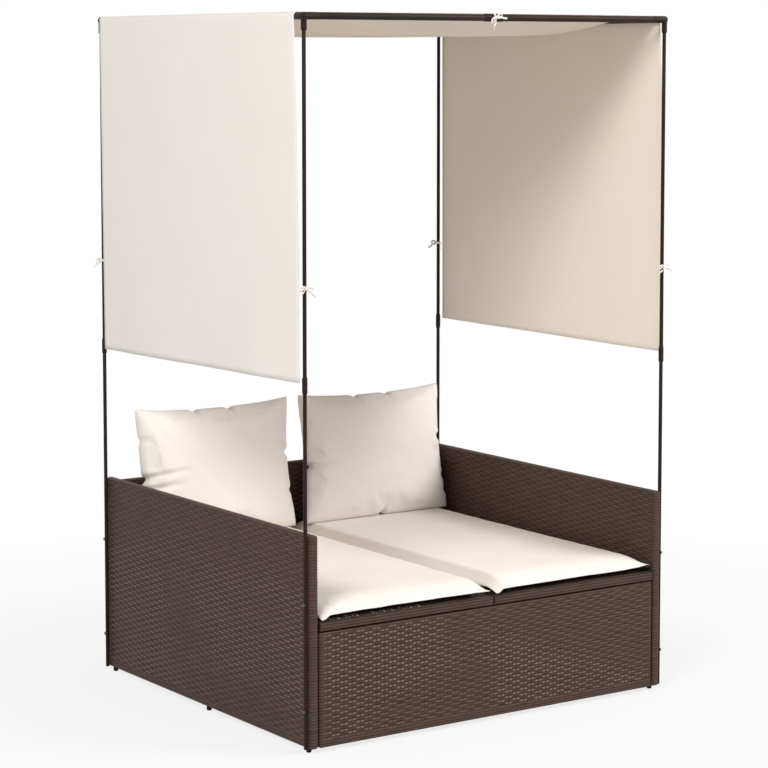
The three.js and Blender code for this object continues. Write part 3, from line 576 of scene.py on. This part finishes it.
def seat_pad(name, side, middle, half, base, top, seed):
    """Top and underside over one outline. The rise is the product of the falls to the four seams, with
    a few soft swells; the outline draws in between its corners, and the front corners end in ears."""
    s, t = np.meshgrid(*(np.linspace(-1, 1, count) for count in pad_grid), indexing="ij")
    on_right = side == "right"
    inner = s * middle[0] < 0
    corner = step_between(*ear_band, np.abs(s)) * np.abs(t) ** ear_power
    front = (t < 0) * 1.0
    wander = np.random.default_rng(seed)
    pull = np.zeros_like(s)
    soft = np.zeros_like(s)
    waves = 9
    for _ in range(waves):
        turn, phase = wander.uniform(0, 2 * np.pi, 2)
        length = wander.uniform(*soft_lengths)
        along = s * 0.3 * np.cos(turn) + t * 0.56 * np.sin(turn)
        soft += np.cos(2 * np.pi * along / length + phase) / waves
        pull += np.cos(wander.uniform(*seam_waves) * (s * 0.5 + t) + phase) / waves
    drawn = seam_draw + side_draw * (1 - t ** 10) * s ** 4 + seam_wander * pull
    x = s * (half[0] - drawn + ear_widening * corner)
    setback = front_setback - front_bow * s ** 2
    rear_draw = rear_setback * (1 - front) * (1 - s ** 8)
    y = t * (half[1] - setback * front * t ** 4 - rear_draw - end_wander * pull * s ** 2)
    y = y - ear_reach * corner * front
    to_side = half[0] * (1 - np.abs(s))
    to_end = half[1] * (1 - np.abs(t))
    end_fall = np.where(front > 0, fullness(to_end, front_run, front_power), fullness(to_end, crown_run))
    side_run = crown_run if on_right else np.where(inner, inner_run, crown_run)
    slope = fullness(to_side, side_run, side_power)
    if on_right:
        slope = np.where(inner, np.clip(to_side / flank_run, 0, 1) ** flank_power, slope)
    rise = slope * end_fall
    seam = base + seam_rise + seam_wander * pull * (1 - corner)
    seam = seam + outer_lift[side] * (s * middle[0] > 0) * s ** 8
    seam = seam - front_droop * step_between(0.90, 1.0, -t)
    seam = seam + np.where(s < 0, *ear_droop[side]) * corner * front
    top_rise = top - base - seam_rise - pad_swell
    upper = seam + (top_rise * rise + crown_wander * soft * rise) * (1 - corner)
    if not on_right:
        off = ((s - dent_place[0]) / dent_size[0]) ** 2 + ((t - dent_place[1]) / dent_size[1]) ** 2
        upper = upper - dent_depth * np.exp(-off) * rise
    end_under = np.where(front > 0, step_between(*front_under, to_end), fullness(to_end, under_run))
    lower = seam - (seam - base) * fullness(to_side, under_run) * end_under - under_dip * rise
    rows = [np.stack([x + middle[0], y + middle[1], z], axis=-1).reshape(-1, 3) for z in (upper, lower)]
    faces = grid_faces(*x.shape)
    faces = np.concatenate([faces[:, ::-1], faces + len(rows[0])])
    pad = add_mesh(name, np.concatenate(rows), faces, pad_cloth)
    # Painted shade on the right pad's flank that faces the left pad, deepest towards the rear.
    painted_flank_shade = on_right * inner * step_between(*flank_band, to_side) * (flank_shade[0] + flank_shade[1] * t)
    add_values(pad, "painted_flank_shade", np.concatenate([painted_flank_shade.ravel()] * 2))
    weld(pad)
    start, move = swell(pad, pad_frames, pad_swell, pad_pressure)
    points = start + move
    points[:, 0] = np.clip(points[:, 0], middle[0] - half[0], middle[0] + half[0])
    points[:, 2] = np.clip(points[:, 2], base, top)
    put_points(pad, points)
    return pad


for side, seed in (("left", 3), ("right", 5)):
    low, high, middle = box_of(f"seat_pad_{side}")
    half = (high - low) / 2
    pad = seat_pad(f"pad_{side}", side, middle, half[:2], low[2], high[2], seed)
    settle(pad, f"{side}_pad", "pad_cloth", f"seat_pad_{side}")
    finish_soft(pad)

# The back pillows: slack fibre-filled pillows in the same cream cloth, standing on the pads and leaning on
# the back wall. They slouch to the right, their sides draw in between pointed corners,
# and short puckers run in from the seams.
pillow_grid = (89, 67)
pillow_waves = (8, 30)
pillow_half = (0.278, 0.211)
pillow_depth = 0.120
pillow_slouch = 0.028
pillow_lean = np.radians(13.4)
pillow_swell = 0.018
pillow_pull = 0.010
pillow_rise = 0.005
pillow_wave = 0.0015
pillow_fullness = 0.42
pillow_frames = 20
pillow_pressure = 4.0
seam_band = (0.0135, 0.0035)
seam_holds = [(2, -1, 1.0), (2, 1, 0.45), (0, -1, 0.55), (0, 1, 0.35)]
pinch_size = (0.010, 0.012)
pinch_reach = 0.008
side_slant, top_slant = 0.10, 0.12
furrow_half, furrow_spread = 0.009, 0.013
furrow_share = 0.62
furrow_bulge = 0.018
wall_clear = 0.0005
# Each pucker: its place on the outline as shares of the half width and half height, then how far the
# furrow reaches in and how deep the seam is drawn in, in metres.
puckers = {
    "left": [
        (-1, -0.06, 0.095, 0.020),
        (-1, -0.24, 0.080, 0.020),
        (1, 0.12, 0.030, 0.016),
        (-0.28, 1, 0.035, 0.014),
        (0.18, 1, 0.035, 0.011),
        (-1, 0.50, 0.022, 0.006),
        (1, -0.45, 0.030, 0.007),
    ],
    "right": [
        (-1, -0.14, 0.090, 0.026),
        (0.02, -1, 0.030, 0.013),
        (1, 0.12, 0.028, 0.016),
        (-0.24, 1, 0.035, 0.014),
        (0.20, 1, 0.035, 0.011),
        (1, -0.50, 0.025, 0.009),
        (1, -0.72, 0.025, 0.008),
    ],
}


def hold_seams(start, move):
    """Takes back part of the way that each seam was drawn in by the swelling: all of it at the bottom, where
    the pillow stands, and some at the sides and top. The share falls off evenly across the pillow."""
    held = move.copy()
    reach = np.abs(start).max(axis=0)
    for axis, end, share in seam_holds:
        other = 2 - axis
        seam = start[:, axis] * end > reach[axis] - seam_band[0]
        seam &= np.abs(start[:, 1]) < seam_band[1]
        order = np.argsort(start[seam, other])
        drawn = np.interp(start[:, other], start[seam, other][order], move[seam, axis][order])
        held[:, axis] -= share * drawn * np.clip((1 + end * start[:, axis] / reach[axis]) / 2, 0, 1) ** 1.5
    return held


def pinch(x, bulge, z, spots):
    """Draws the seam in at each spot, and runs a furrow in from it with a low ridge on both sides:
    the second slope of a bell curve across, fading with the distance from the seam."""
    for spot_s, spot_t, reach, depth in spots:
        spot_x, spot_z = spot_s * pillow_half[0], spot_t * pillow_half[1]
        at_side = abs(spot_s) == 1
        if at_side:
            spot_x = spot_s * (spot_s * x[np.abs(z - spot_z) < pinch_reach]).max()
            way_x, way_z = -np.sign(spot_s), side_slant
        else:
            spot_z = spot_t * (spot_t * z[np.abs(x - spot_x) < pinch_reach]).max()
            way_x, way_z = top_slant, -np.sign(spot_t)
        along = (x - spot_x) * way_x + (z - spot_z) * way_z
        off = np.abs((x - spot_x) * way_z - (z - spot_z) * way_x)
        near = np.exp(-(off / pinch_size[0]) ** 2 - (along / pinch_size[1]) ** 2)
        x = x + way_x * depth * near
        z = z + way_z * depth * near
        across = (1 - (off / furrow_half) ** 2) * np.exp(-(off / furrow_spread) ** 2)
        furrow = across * np.exp(-(np.clip(along, 0, None) / reach) ** 2)
        bulge = bulge - depth * furrow_share * furrow * np.clip(bulge / furrow_bulge, 0, 1)
    return x, bulge, z


def back_pillow(name, middle, spots, seed, rest_height, wall_face):
    """Two bulging faces that meet in a seam: the fullness is a power of the distances to the seams. The
    seam is drawn in between the corners, then the filling swells the case. It stands flat on the pad."""
    s, t = np.meshgrid(*(np.linspace(-1, 1, count) for count in pillow_grid), indexing="ij")
    draw = np.random.default_rng(seed)
    wave = np.zeros_like(s)
    for _ in range(6):
        along, up_way, phase = draw.uniform(*pillow_waves), draw.uniform(*pillow_waves), draw.uniform(0, 6)
        wave += np.cos(along * s + up_way * t + phase) / 6
    x = s * (pillow_half[0] - pillow_pull * (1 - t ** 2) * (0.8 + 0.4 * (s > 0)))
    z = t * (pillow_half[1] - pillow_pull * (1 - s ** 2) * (t > 0))
    full = np.clip((1 - s ** 4) * (1 - t ** 4), 0, 1) ** pillow_fullness
    bulge = full * (pillow_depth / 2 - pillow_swell * 0.5) + pillow_wave * wave * full
    faces = grid_faces(*x.shape)
    sheets = [np.stack([x, face * bulge, z], axis=-1).reshape(-1, 3) for face in (-1, 1)]
    faces = np.concatenate([faces, faces[:, ::-1] + len(sheets[0])])
    pillow = add_mesh(name, np.concatenate(sheets), faces, pad_cloth)
    weld(pillow)
    points = np.array([vertex.co for vertex in pillow.data.vertices])
    start, move = swell(pillow, pillow_frames, pillow_swell, pillow_pressure)
    points = start + hold_seams(start, move)
    reach = np.abs(points).max(axis=0)
    points = points * np.array([pillow_half[0], min(pillow_depth / 2, reach[1]), pillow_half[1]]) / reach
    x, bulge, z = pinch(points[:, 0], np.abs(points[:, 1]), points[:, 2], spots)
    points = np.stack([x, bulge * np.sign(points[:, 1]), z], axis=1)
    x, across, z = points.T
    x = x + z / pillow_half[1] * pillow_slouch / 2
    y = across * np.cos(pillow_lean) + z * np.sin(pillow_lean)
    height = z * np.cos(pillow_lean) - across * np.sin(pillow_lean)
    placed = np.stack([x, y, height], axis=1) + middle + np.array([0, 0, pillow_rise])
    placed[:, 1] = np.minimum(placed[:, 1], wall_face)
    placed[:, 2] = np.maximum(placed[:, 2], rest_height)
    put_points(pillow, placed)
    return pillow


wall_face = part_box("weave_back")[0][1] - wall_clear
for side, seed in (("left", 11), ("right", 12)):
    low, _, middle = box_of(f"pillow_{side}")
    pillow = back_pillow(f"back_pillow_{side}", middle, puckers[side], seed, low[2], wall_face)
    settle(pillow, f"{side}_pillow", "pad_cloth", f"pillow_{side}")
    finish_soft(pillow)

# The four posts: thin steel tube, powder coated dark brown, in two lengths that meet in a short
# plastic coupler. Two bolts with domed heads go through each lower length into the side wall.
post_radius = 0.0055
tube_bevel = 0.0008
crease_angle = np.radians(40)
bolt_facets = 20
bolt_shank = 0.0029
bolt_head = 0.0050
bolt_head_height = 0.0045
bolt_dome = 0.0032
coat = (0.017, 0.010, 0.0085)
wear_scale = 9.0
worn_coat = [(0.3, (0.014, 0.0085, 0.0075)), (0.7, (0.022, 0.0135, 0.012))]
warm_sheen = (1.0, 0.72, 0.55, 1.0)
fitting_colour = (0.015, 0.0105, 0.0095)
bolt_colour = (0.09, 0.085, 0.08)


def grained_finish(name, colour, roughness, scale, strength, depth, detail=2.0, **settings):
    """A hard finish with a fine grain in its surface."""
    finish, shader = new_finish(name, colour, roughness, **settings)
    grain = object_noise(finish, even, scale, detail=detail)
    rough_surface(finish, shader, grain, strength, depth)
    return finish, shader


steel_finish, steel_shader = grained_finish(
    "brown_coated_steel", coat, 0.45, scale=900.0, strength=0.15, depth=0.0003, specular=0.16)
worn = colour_steps(steel_finish, object_noise(steel_finish, even, wear_scale), worn_coat)
link_to(steel_finish, steel_shader, "Base Color", worn)
fitting_finish, fitting_shader = grained_finish(
    "black_brown_plastic", fitting_colour, 0.5, scale=500.0, strength=0.2, depth=0.0004, specular=0.18)
for shader in (steel_shader, fitting_shader):
    shader.inputs["Specular Tint"].default_value = warm_sheen
bolt_finish, _ = grained_finish(
    "dark_bolt_zinc", bolt_colour, 0.4, scale=300.0, strength=0.2, depth=0.0003, detail=3.0, metallic=0.6)


def turned(profile, start, axis, facets=32):
    """A profile of (radius, distance along) carried round an axis from a start point."""
    profile = np.asarray(profile, float)
    axis = np.asarray(axis, float) / np.linalg.norm(axis)
    first = np.cross(axis, [0.0, 1.0, 0.0] if abs(axis[1]) < 0.9 else [1.0, 0.0, 0.0])
    first /= np.linalg.norm(first)
    second = np.cross(axis, first)
    angle = np.arange(facets) * 2 * np.pi / facets
    ring = np.cos(angle)[:, None] * first + np.sin(angle)[:, None] * second
    points = np.asarray(start) + profile[:, 1, None, None] * axis + profile[:, 0, None, None] * ring[None]
    return points.reshape(-1, 3), grid_faces(len(profile), facets, round_columns=True)


def together(parts):
    """Several (points, faces) pairs as one."""
    starts = np.cumsum([0] + [len(points) for points, _ in parts[:-1]])
    points = np.concatenate([points for points, _ in parts])
    return points, np.concatenate([faces + start for (_, faces), start in zip(parts, starts)])


def turned_piece(name, parts, finish):
    """A welded piece from turned parts, smooth but for its sharp edges."""
    piece = add_mesh(name, *together(parts), finish)
    weld(piece)
    for edge in piece.data.edges:
        edge.use_edge_sharp = False
    piece.data.set_sharp_from_angle(angle=crease_angle)
    return piece


def far_end(profile, length):
    """The other end of a turned part: the same profile backwards, measured from the far end."""
    return [(radius, length - along) for radius, along in profile[::-1]]


def tube(radius, length):
    """A closed round bar's profile with small rounded ends."""
    turn = np.linspace(0, np.pi / 2, 4)
    end = np.stack([radius - tube_bevel * (1 - np.sin(turn)), tube_bevel * (1 - np.cos(turn))], axis=1)
    half = [(0, 0), *end.tolist()]
    return [*half, *far_end(half, length)]


def coupler_profile(length):
    """A sleeve's profile: two lengths with tapered ends, and a fine groove round the middle."""
    half = [(0, 0), (0.0062, 0), (0.0066, 0.0006), (0.0075, 0.0045), (0.0075, length / 2 - 0.0008)]
    return [*half, (0.0071, length / 2), *far_end(half, length)]


def bolt_profile(length):
    """A bolt's profile from its tip: a chamfered shank, then a head whose dome is a quarter ellipse."""
    turn = np.linspace(0, np.pi / 2, 6)
    dome = np.stack([bolt_head * np.cos(turn), length - bolt_dome * (1 - np.sin(turn))], axis=1)
    shank = [(0, 0), (0.0022, 0), (bolt_shank, 0.001), (bolt_shank, length - bolt_head_height - 0.0001)]
    return [*shank, (bolt_head, length - bolt_head_height), *dome.tolist()]


def post_profile(length):
    """A post's profile: a bar with small rounded ends."""
    return tube(post_radius, length)


def upright(name, node, profile, finish, slot, facets=32):
    """A turned piece that stands on the underside of its node's box and has that box's height."""
    low, high, middle = box_of(node)
    shape = turned(profile(high[2] - low[2]), (middle[0], middle[1], low[2]), up, facets)
    settle(turned_piece(name, [shape], finish), "daybed", slot, node)


up = (0, 0, 1)
corners = [(f"{end}_{side}", outward) for end, _ in ends for side, outward in sides]
for corner, outward in corners:
    for part in ("lower", "upper"):
        upright(f"post_{part}_{corner}", f"pole_{part}_{corner}", post_profile, steel_finish, "steel")
    upright(f"post_coupler_{corner}", f"coupler_{corner}", coupler_profile, fitting_finish, "plastic")
    for number in (1, 2):
        node = f"bolt_{corner}_{number}"
        low, high, middle = box_of(node)
        tip = (low[0] if outward > 0 else high[0], middle[1], middle[2])
        screw = turned(bolt_profile(high[0] - low[0]), tip, (outward, 0, 0), bolt_facets)
        bolt = turned_piece(node.replace("bolt", "domed_bolt"), [screw], bolt_finish)
        settle(bolt, "daybed", "bolt", node)

# The tube frames inside the walls, the rings of the seat sections and the support under their seam:
# welded square steel tube. They keep the shapes of the CAD, and have the same coat as the posts.
for node in ("frame_side_left", "frame_side_right", "frame_front", "frame_back",
             "seat_frame_left", "seat_frame_right", "centre_support"):
    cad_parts[node].data.materials[0] = steel_finish

# The feet: six small moulded glides, three under each side wall. Each has a thin stem that is pressed
# into the bottom tube of the wall's frame.
glide_base = [
    (0, 0),
    (0.0060, 0),
    (0.0071, 0.0010),
    (0.0075, 0.0028),
    (0.0075, 0.0100),
    (0.0070, 0.0128),
    (0.0062, 0.0135),
    (0.0040, 0.0136),
]
stem_radius = 0.0039
stem_tip = (0.0030, 0.001)
glide_facets = 24


def glide_profile(length):
    """A glide's profile from the floor up: the round foot, then the stem."""
    return [*glide_base, (stem_radius, length - stem_tip[1]), (stem_tip[0], length), (0, length)]


for side in ("left", "right"):
    for place in ("front", "middle", "rear"):
        name, node = f"glide_{side}_{place}", f"foot_{side}_{place}"
        upright(name, node, glide_profile, fitting_finish, "plastic", glide_facets)

# The top frame: coated steel bars of a heavier tube, joined at the corners by moulded three-way fittings,
# with the front and rear bars in two halves under a short sleeve.
post_x = 0.6285
post_y = 0.565
bar_height = 1.9985
bar_radius = 0.00975
bar_in_sleeve = 0.020
sleeve_length = 0.065
elbow_radius = 0.01025
sleeve_end = [(0, 0), (0.0098, 0), (0.0108, 0.0008), (0.0113, 0.0025)]
long_leg_end = [(0.01025, 0.0395), (0.0098, 0.0425), (0.0090, 0.045), (0, 0.045)]
side_leg_end = [(0.01025, 0.0275), (0.0098, 0.0300), (0.0090, 0.032), (0, 0.032)]
post_leg = [
    (0, 0),
    (0.0090, 0),
    (0.0080, 0.014),
    (0.0080, 0.0345),
    (0.0074, 0.0375),
    (0.0066, 0.0395),
    (0, 0.0395),
]


def elbow(centre, along_bar, along_side):
    """A three-way fitting: a ball at the corner, and a turned leg for each bar and for the post."""
    start = [(0, 0), (elbow_radius, 0)]
    turn = np.linspace(0, np.pi, 13)
    ball = np.stack([elbow_radius * np.sin(turn), -elbow_radius * np.cos(turn)], axis=1)
    return [
        turned([*start, *long_leg_end], centre, along_bar),
        turned([*start, *side_leg_end], centre, along_side),
        turned(post_leg, centre, (0, 0, -1)),
        turned(ball, centre, up),
    ]


for end, end_sign in ends:
    for side, out in sides:
        node = f"bar_{end}_{side}"
        low, high, _ = box_of(node)
        length = high[0] - low[0] - (bar_in_sleeve if side == "left" else 0)
        parts = [turned(tube(bar_radius, length), (low[0], end_sign * post_y, bar_height), (1, 0, 0))]
        if side == "left":
            sleeve_start = (high[0] - sleeve_length, end_sign * post_y, bar_height)
            parts.append(turned([*sleeve_end, *far_end(sleeve_end, sleeve_length)], sleeve_start, (1, 0, 0)))
        settle(turned_piece(f"top_bar_{end}_{side}", parts, steel_finish), "daybed", "steel", node)

        corner = f"{end}_{side}"
        centre = np.array([out * post_x, end_sign * post_y, bar_height])
        parts = elbow(centre, (-out, 0, 0), (0, -end_sign, 0))
        fitting = turned_piece(f"corner_fitting_{corner}", parts, fitting_finish)
        settle(fitting, "daybed", "plastic", f"connector_{corner}")
for side, sign in sides:
    low, high, _ = box_of(f"bar_side_{side}")
    rod = turned(tube(bar_radius, high[1] - low[1]), (sign * post_x, low[1], bar_height), (0, 1, 0))
    bar = turned_piece(f"top_bar_side_{side}", [rod], steel_finish)
    settle(bar, "daybed", "steel", f"bar_side_{side}")

# The canopy: one piece of thin cream cloth over both side bars. It hangs down outside the posts to
# about half height, sags a little between the bars, and lies close round each bar. Its inner face is a
# painted shaded copy of the cloth, tan and darker, with more painted shade under the roof.
canopy_colour = (0.915, 0.862, 0.805)
inside_shade_colour = (0.87, 0.79, 0.69)
canopy_weft, canopy_tone = 420.0, 0.012
canopy_thickness = 0.0011
cloth_out = 0.0118
wrap_angle = np.radians(115)
roof_sag = 0.060
roof_bow = 0.012
sag_run = 0.230
sag_reach = 0.5327
front_edge = 0.5335
rear_edge = {-1: 0.5545, 1: 0.5590}
rear_narrowing = {-1: 0.016, 1: 0.0}
front_flare = 0.024
hem_heights = {-1: (1.0045, 1.0180), 1: (1.0210, 1.0160)}
wide_fold, narrow_fold = (0.0022, 6.0), (0.0008, 15.0)
columns, drop_rows, wrap_rows, roof_rows = 97, 57, 9, 34
roof_spacing = 1.15
underside_shade_share = 0.75
underside_shade_edge = 0.06
canopy_cloth = cloth_finish("canopy_cloth_cream", canopy_colour, canopy_weft, canopy_tone)
canopy_inside_shaded = cloth_finish("canopy_cloth_inside_shaded", inside_shade_colour, canopy_weft, canopy_tone,
                             shade="underside")


def canopy_half(sign, station, hang, turn, share):
    """One drop, the turn round its bar and its half of the roof, as one grid. Two sine folds grow
    towards the hem of the drop. The roof's sag is full across the middle and nothing at the bars and at
    the end hems, and its end hems bow outwards as a parabola."""
    rear_low, front_low = hem_heights[sign]
    hem = rear_low + (front_low - rear_low) * (1 - station) / 2
    fold = wide_fold[0] * (1 + np.sin(station * wide_fold[1] + sign)) * hang
    fold = fold + narrow_fold[0] * np.sin(station * narrow_fold[1] + 2 * sign) * hang ** 2
    drop_x = post_x + cloth_out + np.clip(fold, 0, None)
    drop_z = hem + (bar_height - hem) * (1 - hang)
    front_reach = -(front_edge + front_flare * (1 - (1 - hang) ** 2))
    rear_reach = rear_edge[sign] - rear_narrowing[sign] * hang
    drop_y = (rear_reach + front_reach) / 2 + station * (rear_reach - front_reach) / 2

    shift = (rear_edge[sign] - front_edge) / 2
    round_x = post_x + cloth_out * np.cos(turn)
    round_y = shift + station * (rear_edge[sign] + front_edge) / 2
    round_z = bar_height + cloth_out * np.sin(turn)

    edge = np.clip((1 - np.abs(station)) * sag_reach / sag_run, 0, 1)
    sag = roof_sag * (1 - share ** 5) * (edge * edge * (3 - 2 * edge))
    bow = roof_bow * (1 - share ** 2)
    roof_x = share * post_x
    roof_y = shift * share + station * (front_edge + shift + bow)
    roof_z = bar_height + cloth_out - sag

    groups = (drop_x, drop_y, drop_z), (round_x, round_y, round_z), (roof_x, roof_y, roof_z)
    half = np.concatenate([np.stack(np.broadcast_arrays(*group), axis=-1) for group in groups])
    return half * [sign, 1, 1]


def canopy_sheet(name):
    """One grid: up the left drop, round the left bar, over the roof and down again on the right. Its flat
    size is the length of its middle line across, and of its middle line along."""
    station = np.linspace(-1, 1, columns)[None, :]
    hang = np.linspace(1, 0, drop_rows)[:-1, None]
    turn = np.linspace(0, wrap_angle, wrap_rows)[:, None]
    share = 1 - np.linspace(0, 1, roof_rows)[1:, None] ** roof_spacing
    left, right = (canopy_half(sign, station, hang, turn, share) for sign in (-1, 1))
    points = np.concatenate([left, right[:-1][::-1]])
    path = np.linalg.norm(np.diff(points[:, points.shape[1] // 2], axis=0), axis=1).sum()
    length = np.linalg.norm(np.diff(points[len(points) // 2], axis=0), axis=1).sum()
    canopy = add_mesh(name, points.reshape(-1, 3), grid_faces(*points.shape[:2])[:, ::-1], canopy_cloth)
    # Painted shade on the roof's underside: the inner cloth is darker over the roof, fading out towards the
    # bars.
    shade = underside_shade_share * step_between(post_x, post_x - underside_shade_edge, np.abs(points[..., 0]))
    add_values(canopy, "underside", shade)
    return canopy, (float(path), float(length))


canopy, canopy_cut = canopy_sheet("canopy_cloth")
canopy.data.materials.append(canopy_inside_shaded)
thicken(canopy, canopy_thickness, -1).material_offset = 1
settle(canopy, "daybed", "canopy_cloth", "canopy")

# The ties: narrow tapes of the same cloth, sewn to the canopy's edges and knotted in a small bow round
# each post and round the middle of the front and rear bars.
tape_half = 0.0034
tape_thickness = 0.0008
tape_lay = (0.0016, 0.0030)
knot_out = 0.0022
knot_radius = 0.0034
knot_half = 0.0032
post_ring = 0.0062
bar_ring = 0.0119
tie_height = 1.2730
bow_turns = {"left": -0.1, "right": 0.12}
bar_bow_turn = np.pi / 2 + 0.5
curve_steps = 6
loop_path = [
    (0, 0, 0),
    (0.008, 0.0030, 0.0040),
    (0.016, 0.0035, 0.0035),
    (0.0215, 0.0020, -0.0010),
    (0.0185, 0.0000, -0.0060),
    (0.0090, -0.0010, -0.0040),
    (0, 0, 0),
]
right_tail = [
    (0, 0, 0),
    (0.006, 0.0025, -0.0040),
    (0.014, 0.0040, -0.0075),
    (0.022, 0.0030, -0.0140),
    (0.031, 0.0020, -0.0190),
]
left_tail = [
    (0, 0, 0),
    (-0.005, 0.0030, -0.0045),
    (-0.010, 0.0045, -0.0110),
    (-0.019, 0.0035, -0.0150),
    (-0.026, 0.0040, -0.0235),
]


def smooth_line(corners):
    """A rounded line through points: each span is the cubic that leaves each of its ends along the line
    between that end's two neighbours."""
    corner = np.asarray(corners, float)
    before = np.concatenate([corner[:1], corner[:-1]])
    after = np.concatenate([corner[1:], corner[-1:]])
    slope = (after - before) / 2
    share = np.linspace(0, 1, curve_steps, endpoint=False)[None, :, None]
    low, high = corner[:-1, None], corner[1:, None]
    low_slope, high_slope = slope[:-1, None], slope[1:, None]
    line = (low * (2 * share ** 3 - 3 * share ** 2 + 1) + high * (3 * share ** 2 - 2 * share ** 3)
            + low_slope * (share ** 3 - 2 * share ** 2 + share) + high_slope * (share ** 3 - share ** 2))
    return np.concatenate([line.reshape(-1, 3), corner[-1:]])


def tape(line, across):
    """A flat tape: a line of points, each set half a width to both sides."""
    across = np.broadcast_to(np.asarray(across, float), line.shape)
    return np.stack([line - across, line + across], axis=1).reshape(-1, 3), grid_faces(len(line), 2)


def bow(name, axis_point, axis, ring_radius, outward, turn):
    """A ring of tape round a tube, a knot on its outer side, two loops and two tails. The bow's own
    sideways, outward and upward ways are turned by an angle about the outward way."""
    axis, outward = np.asarray(axis, float), np.asarray(outward, float)
    side_way = np.cross(axis, outward)
    level = np.cos(turn) * side_way + np.sin(turn) * axis
    rise = -np.sin(turn) * side_way + np.cos(turn) * axis
    angle = np.linspace(0, 2 * np.pi, 25)[:, None]
    ring = axis_point + ring_radius * (np.cos(angle) * outward + np.sin(angle) * side_way)
    parts = [tape(ring, axis * tape_half)]
    knot = axis_point + outward * (ring_radius + knot_out)
    ways = np.array([level, outward, rise])
    lay = outward * tape_lay[0] + rise * tape_lay[1]
    for side in (-1, 1):
        path = smooth_line(np.array(loop_path) * [side, 1, 1])
        parts.append(tape(path @ ways + knot, lay))
    for path in (right_tail, left_tail):
        parts.append(tape(smooth_line(path) @ ways + knot, lay))
    turn_round = np.linspace(0, 2 * np.pi, 13)[:, None]
    wrap = knot + knot_radius * (np.cos(turn_round) * outward + np.sin(turn_round) * rise)
    parts.append(tape(wrap, level * knot_half))
    piece = add_mesh(name, *together(parts), canopy_cloth)
    thicken(piece, tape_thickness, 0)
    return piece


for end, end_sign in ends:
    for side, sign in sides:
        point = np.array([sign * post_x, end_sign * post_y, tie_height])
        piece = bow(f"cloth_tie_{end}_{side}", point, up, post_ring, (0, end_sign, 0), bow_turns[side])
        settle(piece, "daybed", "canopy_cloth", f"tie_{end}_{side}")
    point = np.array([0.0, end_sign * post_y, bar_height])
    piece = bow(f"cloth_tie_bar_{end}", point, (1, 0, 0), bar_ring, (0, end_sign, 0), bar_bow_turn)
    settle(piece, "daybed", "canopy_cloth", f"tie_bar_{end}")

# The studio: white floor and backdrop, a broad key lamp from the left, the front and above, a softer one
# from the front right, and a camera at the photograph's place with a long lens.
camera_place = (-4.212, -6.135, 1.893)
camera_tilt = 0.0916
camera_turn = -0.60378
camera_shift = -0.13
focal_pixels, picture_pixels = 2487.4, 768
floor_reach = 40
floor_colour = (0.78, 0.78, 0.78)
fade_reach, fade_levels = (0.9, 2.6), (0.8, 1.0)
sky_level = 0.35
lamp_target = (0, 0, 0.9)
camera = bpy.data.objects.new("camera", bpy.data.cameras.new("camera"))
bpy.context.scene.collection.objects.link(camera)
camera.location = camera_place
camera.rotation_euler = (np.pi / 2 - camera_tilt, 0, camera_turn)
camera.data.sensor_width = 36
camera.data.lens = camera.data.sensor_width * focal_pixels / picture_pixels
camera.data.shift_y = camera_shift
camera.data.clip_end = 200
bpy.context.scene.camera = camera

floor_finish, floor_shader = new_finish("studio_white", floor_colour, 1.0)
glow = wire(floor_finish, "ShaderNodeEmission", {"Color": (1, 1, 1, 1), "Strength": 1.0})
path = wire(floor_finish, "ShaderNodeLightPath")
spot = wire(floor_finish, "ShaderNodeTexCoord")
distance = wire(floor_finish, "ShaderNodeVectorMath", {0: spot.outputs["Object"]}, operation="LENGTH")
sockets = {
    "Value": distance.outputs["Value"],
    "From Min": fade_reach[0],
    "From Max": fade_reach[1],
    "To Min": fade_levels[0],
    "To Max": fade_levels[1],
}
fade = wire(floor_finish, "ShaderNodeMapRange", sockets)
shown = maths(floor_finish, "ADD", path.outputs["Is Camera Ray"], path.outputs["Is Glossy Ray"])
background = maths(floor_finish, "MULTIPLY", shown, fade.outputs["Result"])
mix = wire(floor_finish, "ShaderNodeMixShader", {"Fac": background})
floor_nodes = floor_finish.node_tree
floor_nodes.links.new(floor_shader.outputs[0], mix.inputs[1])
floor_nodes.links.new(glow.outputs[0], mix.inputs[2])
floor_nodes.links.new(mix.outputs[0], floor_nodes.nodes["Material Output"].inputs["Surface"])
floor_points = [(x * floor_reach, y * floor_reach, 0) for x, y in ((-1, -1), (1, -1), (1, 1), (-1, 1))]
floor = add_mesh("studio_floor", floor_points, [(0, 1, 2, 3)], floor_finish, smooth=False)

world = bpy.data.worlds.new("studio_light")
bpy.context.scene.world = world
world.use_nodes = True
sky = world.node_tree.nodes["Background"]
sky.inputs["Color"].default_value = (1, 1, 1, 1)
sky_path = wire(world, "ShaderNodeLightPath")
sky_seen = maths(world, "ADD", sky_path.outputs["Is Camera Ray"], sky_path.outputs["Is Glossy Ray"])
sky_gain = maths(world, "MAXIMUM", sky_seen, sky_level)
world.node_tree.links.new(sky_gain, sky.inputs["Strength"])


def add_lamp(name, place, target, size, power):
    """A square area lamp that faces a point."""
    lamp = bpy.data.objects.new(name, bpy.data.lights.new(name, "AREA"))
    bpy.context.scene.collection.objects.link(lamp)
    lamp.data.size = size
    lamp.data.energy = power
    lamp.location = place
    way = Vector(target) - Vector(place)
    lamp.rotation_euler = way.to_track_quat("-Z", "Y").to_euler()


add_lamp("key_lamp", (-5.4, -3.7, 5.4), lamp_target, 2.3, 312)
add_lamp("fill_lamp", (4.2, -4.7, 4.4), lamp_target, 3.4, 350)
bpy.context.scene.view_settings.view_transform = "Standard"
